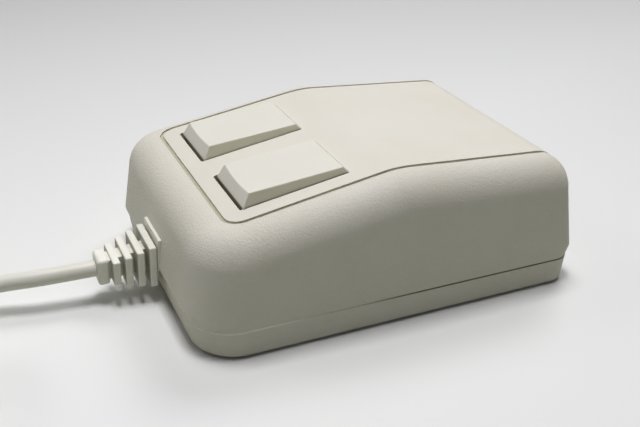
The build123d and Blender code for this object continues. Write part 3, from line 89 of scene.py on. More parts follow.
class Graph:
    """Short calls that add and link the nodes of one tree."""

    def __init__(self, tree: bpy.types.NodeTree) -> None:
        """Starts on an empty tree.

        Args:
            tree: The tree that the nodes go into.
        """
        self.tree = tree
        tree.nodes.clear()

    def node(self, kind: str, **settings: object) -> Node:
        """Adds a node.

        Args:
            kind: The node's class name.
            settings: Properties of the node, such as its operation.

        Returns:
            The new node.
        """
        made = self.tree.nodes.new(kind)
        for name, value in settings.items():
            setattr(made, name, value)
        return made

    def feed(self, socket: Socket, value: object) -> None:
        """Links a socket to another one, or sets it to a plain value.

        Args:
            socket: The input to feed.
            value: An output socket, a number, a vector or a colour.
        """
        if isinstance(value, Socket):
            self.tree.links.new(value, socket)
        elif isinstance(value, tuple) and len(value) == 3 and socket.type == "RGBA":
            socket.default_value = (*value, 1.0)
        else:
            socket.default_value = value

    def fill(self, node: Node, **values: object) -> Node:
        """Feeds a node's inputs by their names.

        Args:
            node: The node to feed.
            values: Its inputs, with _ for a space.

        Returns:
            The same node.
        """
        for name, value in values.items():
            self.feed(node.inputs[name.replace("_", " ")], value)
        return node

    def group(self, tree: bpy.types.NodeTree, **values: object) -> Node:
        """Places a node group.

        Args:
            tree: The group.
            values: Its inputs, with _ for a space.

        Returns:
            The group's node.
        """
        return self.fill(self.node("ShaderNodeGroup", node_tree=tree), **values)

    def sum(self, kind: Sum, first: object, second: object = 0.0) -> Socket:
        """Adds a Math node.

        Args:
            kind: The operation.
            first: Its first value or socket.
            second: Its second value or socket.

        Returns:
            The result's socket.
        """
        made = self.node("ShaderNodeMath", operation=kind.value)
        self.feed(made.inputs[0], first)
        self.feed(made.inputs[1], second)
        return made.outputs[0]

    def times(self, first: object, second: object) -> Socket:
        """Multiplies two values or sockets."""
        return self.sum(Sum.TIMES, first, second)

    def size(self, value: Socket) -> Socket:
        """Takes the sign off a value."""
        return self.sum(Sum.SIZE, value)

    def vector_sum(self, kind: VectorSum, first: object, second: object = None) -> Socket:
        """Adds a Vector Math node.

        Args:
            kind: The operation.
            first: Its first vector or socket.
            second: Its second vector, its factor, or nothing.

        Returns:
            The result's socket.
        """
        made = self.node("ShaderNodeVectorMath", operation=kind.value)
        self.feed(made.inputs[0], first)
        if second is not None:
            self.feed(made.inputs["Scale" if kind is VectorSum.SCALE else 1], second)
        return made.outputs["Value" if kind in (VectorSum.DOT, VectorSum.LENGTH) else "Vector"]

    def split(self, vector: Socket) -> bpy.types.bpy_prop_collection:
        """Takes a vector apart.

        Args:
            vector: The vector's socket.

        Returns:
            The sockets X, Y and Z.
        """
        made = self.node("ShaderNodeSeparateXYZ")
        self.feed(made.inputs[0], vector)
        return made.outputs

    def spread(self, value: object, span: Span, onto: Span = UNIT, smooth: bool = True) -> Socket:
        """Maps a span of a value onto another one.

        Args:
            value: The value's socket.
            span: Where the span starts and ends.
            onto: The results at its start and end.
            smooth: Whether the ends are eased.

        Returns:
            The result's socket.
        """
        made = self.node("ShaderNodeMapRange", interpolation_type="SMOOTHSTEP" if smooth else "LINEAR")
        for socket, fed in zip(made.inputs[:5], (value, *span, *onto)):
            self.feed(socket, fed)
        return made.outputs[0]

    def below(self, value: Socket, span: Span) -> Socket:
        """Masks what lies below a span, fading out over it."""
        return self.spread(value, span, (1.0, 0.0))

    def noise(self, vector: Socket, pattern: Pattern) -> Socket:
        """Adds a noise pattern.

        Args:
            vector: Where it is read.
            pattern: Its scale, its octaves and how strong the finer ones are.

        Returns:
            The pattern's value.
        """
        scale, detail, roughness = pattern
        made = self.node("ShaderNodeTexNoise")
        self.fill(made, Vector=vector, Scale=scale, Detail=detail, Roughness=roughness)
        return made.outputs["Fac"]

    def mix(self, share: object, first: object, second: object) -> Socket:
        """Mixes two colours.

        Args:
            share: How much of the second shows.
            first: A colour or socket.
            second: A colour or socket.

        Returns:
            The mixed colour's socket.
        """
        made = self.node("ShaderNodeMix", data_type="RGBA")
        self.feed(made.inputs["Factor"], share)
        self.feed(made.inputs[6], first)
        self.feed(made.inputs[7], second)
        return made.outputs[2]

    def stain(self, colour: Socket, mask: Socket, share: float, dirt_and_shade: Colour) -> Socket:
        """Lays a colour over another one inside a mask.

        Args:
            colour: What it lies on.
            mask: Where it lies.
            share: How much of it shows at most.
            dirt_and_shade: The colour on top.

        Returns:
            The stained colour's socket.
        """
        return self.mix(self.times(mask, share), colour, dirt_and_shade)

    def place(self) -> Socket:
        """Returns the object coordinates."""
        return self.node("ShaderNodeTexCoord").outputs["Object"]

    def facing(self, axis: str) -> Socket:
        """Returns how squarely a face looks along an axis, either way."""
        return self.size(self.split(self.node("ShaderNodeTexCoord").outputs["Normal"])[axis])


@dataclass(frozen=True)
class Effects:
    """Shader node groups that several finishes share, each built once.

    An edge is where a mask fades, and a pattern holds the scale, octaves and roughness of a noise.
    """

    pebble_smoothness: float = 0.6
    pebble_share: float = 0.65
    fine_pattern: Pattern = (2.1, 2.0, 0.55)
    fine_share: float = 0.7
    panel_edge: Span = (-1.3, -0.6)
    groove_edge: Span = (0.7, 1.15)
    # Where the painted seam shadow lies, and where the painted highlight on the tray's lip lies.
    seam_edge: Span = (0.10 * MM, 0.24 * MM)
    seam_rear: Span = (-5 * MM, 16 * MM)
    lip_drop: float = 0.12 * MM
    lip_edge: Span = (0.10 * MM, 0.26 * MM)
    lip_ahead: Span = (20 * MM, 34 * MM)
    age_pattern: Pattern = (38.0, 3.0, 0.6)
    age_edge: Span = (0.3, 0.72)
    speck_scale: float = 170.0
    speck_edge: Span = (0.03, 0.07)
    speck_rarity: Span = (0.965, 0.97)

    def start(self, name: str, inputs: tuple[str, ...], outputs: tuple[str, ...]) -> tuple[Graph, Node, Node]:
        """Starts a node group that reads a place.

        Args:
            name: The group's name.
            inputs: The names of the numbers that it reads beside the place.
            outputs: The names of the values that it gives.

        Returns:
            The graph, its input node and its output node.
        """
        tree = bpy.data.node_groups.new(name, "ShaderNodeTree")
        tree.interface.new_socket("Vector", in_out="INPUT", socket_type="NodeSocketVector")
        for direction, sockets in (("INPUT", inputs), ("OUTPUT", outputs)):
            for socket in sockets:
                tree.interface.new_socket(socket, in_out=direction, socket_type="NodeSocketFloat")
        graph = Graph(tree)
        return graph, graph.node("NodeGroupInput"), graph.node("NodeGroupOutput")

    @cached_property
    def mould_grain(self) -> bpy.types.NodeTree:
        """Fine pebbled grain of an etched mould.

        Returns:
            The group, from a place and the number of grains in a metre to a height.
        """
        graph, given, out = self.start("Mould Grain", ("Grains",), ("Height",))
        place = graph.vector_sum(VectorSum.SCALE, given.outputs["Vector"], given.outputs["Grains"])
        pebbles = graph.node("ShaderNodeTexVoronoi", feature="SMOOTH_F1")
        graph.fill(pebbles, Vector=place, Scale=1.0, Smoothness=self.pebble_smoothness)
        fine = graph.noise(place, self.fine_pattern)
        domes = graph.sum(Sum.LESS, 1.0, pebbles.outputs["Distance"])
        height = graph.sum(Sum.ADD, graph.times(domes, self.pebble_share), graph.times(fine, self.fine_share))
        graph.fill(out, Height=height)
        return graph.tree

    @cached_property
    def panel_zone(self) -> bpy.types.NodeTree:
        """The smooth top panel inside its groove, told apart in plan.

        Returns:
            The group, from a place and the panel's sizes to masks of the panel and of the groove.
        """
        sizes = ("Half Width", "Front", "Corner", "Groove")
        graph, given, out = self.start("Panel Zone", sizes, ("Panel", "Groove"))
        place = graph.split(given.outputs["Vector"])
        corner = given.outputs["Corner"]
        across = graph.sum(Sum.LESS, given.outputs["Half Width"], corner)
        ahead = graph.sum(Sum.LESS, given.outputs["Front"], corner)
        x = graph.sum(Sum.LESS, graph.size(place["X"]), across)
        y = graph.sum(Sum.LESS, place["Y"], ahead)
        x_out, y_out = graph.sum(Sum.MAX, x, 0.0), graph.sum(Sum.MAX, y, 0.0)
        squares = graph.sum(Sum.ADD, graph.times(x_out, x_out), graph.times(y_out, y_out))
        inner = graph.sum(Sum.MIN, graph.sum(Sum.MAX, x, y), 0.0)
        distance = graph.sum(Sum.LESS, graph.sum(Sum.ADD, graph.sum(Sum.ROOT, squares), inner), corner)
        share = graph.sum(Sum.OVER, distance, graph.times(given.outputs["Groove"], 0.5))
        graph.fill(out, Panel=graph.below(share, self.panel_edge),
                   Groove=graph.below(graph.size(share), self.groove_edge))
        return graph.tree

    @cached_property
    def front_flat(self) -> bpy.types.NodeTree:
        """How far a place lies above the flat that the keys rise from.

        Returns:
            The group, from a place to a height in metres, which is negative under the flat.
        """
        graph, given, out = self.start("Front Flat", (), ("Height",))
        slope = math.radians(FRONT_SLOPE)
        normal = Vector((0.0, math.sin(slope), math.cos(slope)))
        along = graph.vector_sum(VectorSum.DOT, given.outputs["Vector"], tuple(normal))
        graph.fill(out, Height=graph.sum(Sum.LESS, along, normal.dot(Vector(CROWN))))
        return graph.tree

    @cached_property
    def seam(self) -> bpy.types.NodeTree:
        """The seam between the two halves: a painted shadow line at the rear, and towards the cord a painted
        highlight on the lip.

        Returns:
            The group, from a place to masks of the painted shadow and of the painted highlight.
        """
        graph, given, out = self.start("Seam Dirt", (), ("Dirt", "Lip"))
        place = graph.split(given.outputs["Vector"])
        above = graph.sum(Sum.LESS, place["Z"], SEAM_HEIGHT)
        # Painted shadow line at the seam towards the rear; painted highlight on the lip just below it, ahead.
        line = graph.below(graph.size(above), self.seam_edge)
        rear = graph.below(place["Y"], self.seam_rear)
        lip = graph.below(graph.size(graph.sum(Sum.ADD, above, self.lip_drop)), self.lip_edge)
        ahead = graph.spread(place["Y"], self.lip_ahead)
        graph.fill(out, Dirt=graph.times(line, rear), Lip=graph.times(lip, ahead))
        return graph.tree

    @cached_property
    def soil(self) -> bpy.types.NodeTree:
        """Age and dirt: broad yellowing, and sparse small specks.

        Returns:
            The group, from a place and a seed to the two masks.
        """
        graph, given, out = self.start("Age And Specks", ("Seed",), ("Age", "Specks"))
        place = graph.vector_sum(VectorSum.ADD, given.outputs["Vector"], given.outputs["Seed"])
        age = graph.spread(graph.noise(place, self.age_pattern), self.age_edge)
        dots = graph.node("ShaderNodeTexVoronoi", feature="F1")
        graph.fill(dots, Vector=place, Scale=self.speck_scale)
        chance = graph.node("ShaderNodeSeparateColor")
        graph.feed(chance.inputs[0], dots.outputs["Color"])
        near = graph.below(dots.outputs["Distance"], self.speck_edge)
        picked = graph.spread(chance.outputs[0], self.speck_rarity)
        graph.fill(out, Age=age, Specks=graph.times(near, picked))
        return graph.tree


EFFECTS = Effects()


def start_material(name: str) -> tuple[bpy.types.Material, Graph, Node]:
    """Starts a material with a Principled shader.

    Args:
        name: The material's name.

    Returns:
        The material, its graph and the shader node.
    """
    material = bpy.data.materials.new(name)
    material.use_nodes = True
    graph = Graph(material.node_tree)
    shader = graph.node("ShaderNodeBsdfPrincipled")
    graph.fill(graph.node("ShaderNodeOutputMaterial"), Surface=shader.outputs["BSDF"])
    return material, graph, shader


def add_bump(graph: Graph, shader: Node, height: Socket, depth: float) -> None:
    """Feeds a height to the shader's normal.

    Args:
        graph: The material's graph.
        shader: Its shader.
        height: The height's socket.
        depth: The relief in metres.
    """
    bump = graph.fill(graph.node("ShaderNodeBump"), Height=height, Distance=depth, Strength=1.0)
    graph.fill(shader, Normal=bump.outputs["Normal"])


def about(level: float, swing: Span) -> Span:
    """Returns the lowest and the highest of a value that swings about a level."""
    return level + swing[0], level + swing[1]


@dataclass(frozen=True)
class Panel:
    """The smooth top panel and the groove round it, darkened for its dirt and as painted shade."""

    half_width: float = 26.0 * MM
    front: float = 40.4 * MM
    corner: float = 4.0 * MM
    groove: float = 0.9 * MM
    grain_share: float = 0.06
    # Dirt and painted shade in the groove.
    dirt_and_shade: Colour = (0.45, 0.42, 0.29)
    dirt_and_shade_share: float = 0.75

    def lay(self, graph: Graph, place: Socket, colour: Socket, height: Socket) -> tuple[Socket, Socket]:
        """Darkens the groove with dirt and painted shade, and smooths the grain inside it.

        Args:
            graph: The material's graph.
            place: The object coordinates.
            colour: The plastic's colour.
            height: The grain's height.

        Returns:
            The sockets of the new colour and the new height.
        """
        zone = graph.group(EFFECTS.panel_zone, Vector=place, Half_Width=self.half_width, Front=self.front,
                           Corner=self.corner, Groove=self.groove)
        # Darkens the groove, partly with dirt and partly as painted shade.
        colour = graph.stain(colour, zone.outputs["Groove"], self.dirt_and_shade_share, self.dirt_and_shade)
        return colour, graph.times(height, graph.spread(zone.outputs["Panel"], UNIT, (1.0, self.grain_share)))


@dataclass(frozen=True)
class SeamMarks:
    """Painted shadow along the seam at the rear, and a painted highlight on the lip ahead."""

    # Painted shadow in the seam at the rear.
    dirt_and_shade: Colour = SLIT_SHADE
    dirt_and_shade_share: float = 0.85
    # Painted highlight along the tray's lip towards the cord.
    lip_highlight: Colour = (0.95, 0.94, 0.89)
    lip_highlight_share: float = 0.8

    def lay(self, graph: Graph, place: Socket, colour: Socket) -> Socket:
        """Lays the marks over a colour.

        Args:
            graph: The material's graph.
            place: The object coordinates.
            colour: What they lie on.

        Returns:
            The marked colour's socket.
        """
        seam = graph.group(EFFECTS.seam, Vector=place)
        # Painted shadow in the seam, then a painted highlight on the lip.
        colour = graph.stain(colour, seam.outputs["Dirt"], self.dirt_and_shade_share, self.dirt_and_shade)
        return graph.stain(colour, seam.outputs["Lip"], self.lip_highlight_share, self.lip_highlight)


@dataclass(frozen=True)
class KeyMarks:
    """Painted shade on the flanks of a key that look sideways, and painted shade down in the slits round it.
    """

    # Painted shade on the faces that look sideways.
    flank_shade: Colour = (0.62, 0.585, 0.42)
    flank_shade_share: float = 0.55
    flank: Span = (0.45, 0.85)
    # Painted shade down in the slits round the key.
    dirt_and_shade: Colour = SLIT_SHADE
    dirt_and_shade_share: float = 0.85
    slit_shade_top: Span = (-0.7 * MM, 0.3 * MM)
    slit_shade_foot: Span = (-3.4 * MM, -2.2 * MM)

    def lay(self, graph: Graph, place: Socket, colour: Socket) -> Socket:
        """Lays the marks over a colour.

        Args:
            graph: The material's graph.
            place: The object coordinates.
            colour: What they lie on.

        Returns:
            The marked colour's socket.
        """
        # Painted shade on the faces that look sideways.
        sideways = graph.spread(graph.facing("X"), self.flank, (0.0, self.flank_shade_share))
        colour = graph.mix(sideways, colour, self.flank_shade)
        # Painted shade on what lies below the flat, down in the slits.
        height = graph.group(EFFECTS.front_flat, Vector=place).outputs["Height"]
        sunk = graph.spread(height, self.slit_shade_top, (self.dirt_and_shade_share, 0.0))
        return graph.mix(graph.times(sunk, graph.spread(height, self.slit_shade_foot)), colour, self.dirt_and_shade)


@dataclass(frozen=True)
class FinMarks:
    """Painted shade between the fins, on the faces that look along the cord, from a start to an end on Y."""

    start: float
    end: float
    fade: float = 0.1 * MM
    inner: Span = (0.75, 0.95)
    # Painted shade between the fins.
    dirt_and_shade: Colour = (0.30, 0.285, 0.19)
    dirt_and_shade_share: float = 0.62

    def lay(self, graph: Graph, place: Socket, colour: Socket) -> Socket:
        """Lays the marks over a colour.

        Args:
            graph: The material's graph.
            place: The object coordinates.
            colour: What they lie on.

        Returns:
            The marked colour's socket.
        """
        # Painted shade on the faces between the fins.
        facing = graph.spread(graph.facing("Y"), self.inner, (0.0, self.dirt_and_shade_share))
        along = graph.split(place)["Y"]
        past = graph.spread(along, (self.start - self.fade, self.start))
        before = graph.below(along, (self.end, self.end + self.fade))
        return graph.mix(graph.times(facing, graph.times(past, before)), colour, self.dirt_and_shade)


@dataclass(frozen=True)
class MouldedPlastic:
    """A moulded plastic with grain, age and specks."""

    name: str
    colour: Colour
    aged: Colour
    roughness: float = 0.5
    roughness_swing: Span = (-0.03, 0.05)
    grain_size: float = 0.42 * MM
    grain_depth: float = 0.125 * MM
    seed: float = 0.0
    dirt_and_shade: Colour = (0.30, 0.27, 0.19)
    speck_share: float = 0.7
    marks: tuple[SeamMarks | KeyMarks, ...] = ()
    panel: Panel | None = None
    specular: float = 0.3

    def make(self) -> bpy.types.Material:
        """Builds the material.

        Returns:
            The material.
        """
        material, graph, shader = start_material(self.name)
        place = graph.place()
        soil = graph.group(EFFECTS.soil, Vector=place, Seed=self.seed)
        height = graph.group(EFFECTS.mould_grain, Vector=place, Grains=1 / self.grain_size).outputs["Height"]
        colour = graph.mix(soil.outputs["Age"], self.colour, self.aged)
        colour = graph.stain(colour, soil.outputs["Specks"], self.speck_share, self.dirt_and_shade)
        for mark in self.marks:
            colour = mark.lay(graph, place, colour)
        if self.panel:
            colour, height = self.panel.lay(graph, place, colour, height)
        rough = graph.spread(soil.outputs["Age"], UNIT, about(self.roughness, self.roughness_swing))
        graph.fill(shader, Base_Color=colour, Roughness=rough, Specular_IOR_Level=self.specular)
        add_bump(graph, shader, height, self.grain_depth)
        return material


@dataclass(frozen=True)
class SoftRubber:
    """Flexible vinyl or rubber with a fine skin and faint flow marks."""

    name: str
    colour: Colour
    aged: Colour
    roughness: float = 0.5
    roughness_swing: Span = (-0.07, 0.08)
    flow: Pattern = (260.0, 3.0, 0.6)
    flow_edge: Span = (0.2, 0.8)
    skin_size: float = 0.3 * MM
    skin_depth: float = 0.01 * MM
    seed: float = 1.7
    marks: tuple[FinMarks, ...] = ()

    def make(self) -> bpy.types.Material:
        """Builds the material.

        Returns:
            The material.
        """
        material, graph, shader = start_material(self.name)
        place = graph.place()
        soil = graph.group(EFFECTS.soil, Vector=place, Seed=self.seed)
        skin = graph.group(EFFECTS.mould_grain, Vector=place, Grains=1 / self.skin_size)
        colour = graph.mix(soil.outputs["Age"], self.colour, self.aged)
        for mark in self.marks:
            colour = mark.lay(graph, place, colour)
        swing = about(self.roughness, self.roughness_swing)
        graph.fill(shader, Base_Color=colour,
                   Roughness=graph.spread(graph.noise(place, self.flow), self.flow_edge, swing))
        add_bump(graph, shader, skin.outputs["Height"], self.skin_depth)
        return material


@dataclass(frozen=True)
class Metal:
    """A plated or drawn metal with fine lines and dull patches, and a gloss between them."""

    name: str
    colour: Colour
    dull: Colour
    roughness: float = 0.28
    lines: Point = (90.0, 90.0, 6000.0)
    line_pattern: Pattern = (1.0, 2.0, 0.6)
    line_roughness: float = 0.16
    line_depth: float = 0.004 * MM
    patches: Pattern = (420.0, 3.0, 0.6)
    patch_edge: Span = (0.35, 0.7)
    patch_roughness: float = 0.1
    gloss: float = 0.1

    def make(self) -> bpy.types.Material:
        """Builds the material.

        Returns:
            The material.
        """
        material, graph, shader = start_material(self.name)
        place = graph.place()
        stretched = graph.fill(graph.node("ShaderNodeMapping"), Vector=place, Scale=self.lines)
        drawn = graph.noise(stretched.outputs["Vector"], self.line_pattern)
        patches = graph.spread(graph.noise(place, self.patches), self.patch_edge)
        rough = graph.sum(Sum.ADD, graph.times(drawn, self.line_roughness),
                          graph.times(patches, self.patch_roughness))
        graph.fill(shader, Base_Color=graph.mix(patches, self.colour, self.dull), Metallic=1.0,
                   Roughness=graph.sum(Sum.ADD, rough, self.roughness - self.gloss))
        add_bump(graph, shader, drawn, self.line_depth)
        return material


@dataclass(frozen=True)
class Laminate:
    """Circuit board with solder mask over copper runs."""

    name: str
    mask: Colour = (0.035, 0.16, 0.07)
    over_copper: Colour = (0.07, 0.27, 0.11)
    copper_height: float = 0.03 * MM
    runs_scale: float = 90.0
    run_width: float = 0.9
    run_pitch: float = 0.24
    run_offset: float = 0.37
    gap: float = 0.045
    roughness: float = 0.32
    roughness_swing: Span = (-0.05, 0.06)
    cloud: Pattern = (500.0, 2.0, 0.5)
    cloud_edge: Span = (0.3, 0.7)

    def make(self) -> bpy.types.Material:
        """Builds the material.

        Returns:
            The material.
        """
        material, graph, shader = start_material(self.name)
        place = graph.place()
        runs = graph.node("ShaderNodeTexBrick", offset=self.run_offset, squash=1.0)
        graph.fill(runs, Vector=place, Scale=self.runs_scale, Mortar_Size=self.gap,
                   Brick_Width=self.run_width, Row_Height=self.run_pitch)
        copper = runs.outputs["Fac"]
        swing = about(self.roughness, self.roughness_swing)
        graph.fill(shader, Base_Color=graph.mix(copper, self.mask, self.over_copper),
                   Roughness=graph.spread(graph.noise(place, self.cloud), self.cloud_edge, swing))
        add_bump(graph, shader, copper, self.copper_height)
        return material


@dataclass(frozen=True)
class TintedLens:
    """Clear tinted resin with a little haze."""

    name: str
    colour: Colour
    roughness: float = 0.12
    roughness_swing: Span = (0.0, 0.1)
    roughness_edge: Span = (0.2, 0.8)
    haze: Pattern = (900.0, 2.0, 0.5)
    haze_edge: Span = (0.4, 0.8)
    haze_share: float = 0.4
    haze_depth: float = 0.002 * MM
    paler_share: float = 0.7
    paler_lift: float = 0.2
    coat: float = 0.4

    def make(self) -> bpy.types.Material:
        """Builds the material.

        Returns:
            The material.
        """
        material, graph, shader = start_material(self.name)
        haze = graph.noise(graph.place(), self.haze)
        paler = tuple(self.paler_share * c + self.paler_lift for c in self.colour)
        hazy = graph.spread(haze, self.haze_edge, (0.0, self.haze_share))
        rough = graph.spread(haze, self.roughness_edge, about(self.roughness, self.roughness_swing))
        graph.fill(shader, Base_Color=graph.mix(hazy, self.colour, paler), Roughness=rough,
                   Coat_Weight=self.coat)
        add_bump(graph, shader, haze, self.haze_depth)
        return material


def dress(node: str, finish: MouldedPlastic | SoftRubber | Metal | Laminate | TintedLens) -> None:
    """Gives a CAD node its finish.

    Args:
        node: The node's name.
        finish: The finish; its material is made on first use.
    """
    material = bpy.data.materials.get(finish.name) or finish.make()
    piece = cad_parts[node]
    if not piece.material_slots:
        piece.data.materials.append(material)
    for slot in piece.material_slots:
        slot.material = material
    LOG.info("%s: %s, %d faces", node, finish.name, len(piece.data.polygons))


# Warm cream case, slightly paler keys, and the parts inside.
CREAM = (0.720, 0.693, 0.630)
CREAM_AGED = (0.700, 0.666, 0.592)
CASE = MouldedPlastic("case_cream", CREAM, CREAM_AGED, marks=(SeamMarks(),), panel=Panel())
TRAY = MouldedPlastic("tray_cream", CREAM, CREAM_AGED, seed=0.4, marks=(SeamMarks(),))
KEY = MouldedPlastic("key_cream", (0.752, 0.737, 0.672), (0.738, 0.719, 0.642), roughness=0.42,
                     grain_size=0.3 * MM, grain_depth=0.006 * MM, seed=0.9, marks=(KeyMarks(),))
RING = MouldedPlastic("ring_cream", CREAM, CREAM_AGED, roughness=0.45, grain_size=0.4 * MM,
                      grain_depth=0.015 * MM, seed=1.3)
PAD = MouldedPlastic("pad_grey", (0.55, 0.54, 0.51), (0.42, 0.41, 0.38), roughness=0.38, grain_size=0.5 * MM,
                     grain_depth=0.008 * MM, seed=2.1)
CAGE = MouldedPlastic("cage_black", (0.028, 0.028, 0.030), (0.036, 0.036, 0.036), roughness=0.42,
                      grain_depth=0.01 * MM, seed=3.0, dirt_and_shade=(0.2, 0.2, 0.2))
CHIP = MouldedPlastic("chip_black", (0.020, 0.020, 0.021), (0.030, 0.030, 0.030), roughness=0.6,
                      grain_size=0.15 * MM, grain_depth=0.01 * MM, seed=4.2, dirt_and_shade=(0.15, 0.15, 0.15))
WHITE = MouldedPlastic("natural_white", (0.72, 0.71, 0.66), (0.66, 0.64, 0.57), roughness=0.4,
                       grain_size=0.3 * MM, grain_depth=0.006 * MM, seed=5.1)
PLUNGER = MouldedPlastic("plunger_red", (0.52, 0.045, 0.025), (0.44, 0.04, 0.025), roughness=0.4,
                         grain_size=0.2 * MM, grain_depth=0.004 * MM, seed=6.0)
CAN = MouldedPlastic("sleeve_blue", (0.012, 0.020, 0.075), (0.018, 0.026, 0.085), roughness=0.3,
                     grain_size=0.4 * MM, grain_depth=0.004 * MM, seed=7.7, dirt_and_shade=(0.4, 0.4, 0.4))
LACQUER = MouldedPlastic("lacquer_tan", (0.45, 0.30, 0.15), (0.38, 0.25, 0.12), roughness=0.3,
                         grain_size=0.3 * MM, grain_depth=0.006 * MM, seed=8.4)
HOOD = MouldedPlastic("hood_cream", (0.640, 0.618, 0.560), (0.600, 0.572, 0.505), roughness=0.5,
                      grain_size=0.45 * MM, grain_depth=0.02 * MM, seed=9.2)
CORD = SoftRubber("cord_cream", (0.775, 0.760, 0.700), (0.745, 0.726, 0.655), roughness=0.46)
BOOT = SoftRubber("boot_cream", (0.880, 0.862, 0.800), (0.850, 0.828, 0.755), roughness=0.5, seed=2.6,
                  marks=(FinMarks(start=50.35 * MM, end=60.7 * MM),))
BALL = SoftRubber("ball_grey", (0.060, 0.060, 0.064), (0.085, 0.083, 0.080), roughness=0.62,
                  skin_depth=0.02 * MM, seed=3.3)
LEAD = SoftRubber("lead_red", (0.42, 0.030, 0.022), (0.36, 0.028, 0.020), roughness=0.4, seed=4.5)
STEEL = Metal("zinc_steel", (0.62, 0.62, 0.62), (0.50, 0.50, 0.49))
BALL_STEEL = Metal("ball_steel", (0.55, 0.55, 0.55), (0.40, 0.40, 0.41), lines=(300.0, 300.0, 300.0))
TIN = Metal("tin_plate", (0.74, 0.73, 0.70), (0.60, 0.59, 0.56), roughness=0.22, lines=(4000.0, 90.0, 90.0))
GOLD = Metal("gold_flash", (0.83, 0.60, 0.25), (0.70, 0.49, 0.20), roughness=0.2)
BOARD = Laminate("board_green")
EMITTER = TintedLens("emitter_clear", (0.45, 0.52, 0.60))
DETECTOR = TintedLens("detector_dark", (0.030, 0.022, 0.035))


@dataclass
class Casing:
    """The two halves of the case, its feet, screws and ball ring."""

    screws: tuple[str, ...] = ("case_screws", "board_screws", "button_hinge_pins")

    def dress(self) -> None:
        """Gives each piece its finish."""
        dress("upper_case", CASE)
        dress("base_cover", TRAY)
        dress("ball_retaining_ring", RING)
        dress("glide_feet", PAD)
        for node in self.screws:
            dress(node, STEEL)


@dataclass
class Keys:
    """Both keys and the switches under them."""

    sides: tuple[str, ...] = ("left", "right")

    def dress(self) -> None:
        """Gives each piece its finish."""
        for side in self.sides:
            dress(f"{side}_button", KEY)
            dress(f"{side}_switch_body", CHIP)
            dress(f"{side}_switch_plunger", PLUNGER)
        dress("switch_leads", TIN)


@dataclass
class BallDrive:
    """The ball, its cage, both encoders and the sprung idler."""

    shafts: tuple[str, ...] = ("x", "y")
    pins: tuple[str, ...] = ("idler_axle", "idler_pivot_pin", "idler_spring")

    def dress(self) -> None:
        """Gives each piece its finish."""
        dress("ball_coating", BALL)
        dress("ball_core", BALL_STEEL)
        dress("roller_frame", CAGE)
        dress("idler_arm", CAGE)
        dress("idler_roller", WHITE)
        for node in self.pins:
            dress(node, STEEL)
        for shaft in self.shafts:
            dress(f"{shaft}_encoder_shaft", STEEL)
            dress(f"{shaft}_encoder_wheel", CAGE)
            dress(f"{shaft}_infrared_emitter", EMITTER)
            dress(f"{shaft}_infrared_detector", DETECTOR)


@dataclass
class Electronics:
    """The board and what is soldered to it."""

    connectors: tuple[str, ...] = ("cable_header", "cable_header_plug")

    def dress(self) -> None:
        """Gives each piece its finish."""
        dress("circuit_board", BOARD)
        dress("signal_chip", CHIP)
        dress("resistors", LACQUER)
        dress("capacitor", CAN)
        for node in self.connectors:
            dress(node, WHITE)
        dress("inner_leads", LEAD)
        dress("chip_leads", TIN)


def add_object(name: str, data: bpy.types.ID) -> bpy.types.Object:
    """Puts an object into the scene.

    Args:
        name: The object's name.
        data: Its curve, lamp or camera.

    Returns:
        The new object.
    """
    made = bpy.data.objects.new(name, data)
    bpy.context.scene.collection.objects.link(made)
    return made


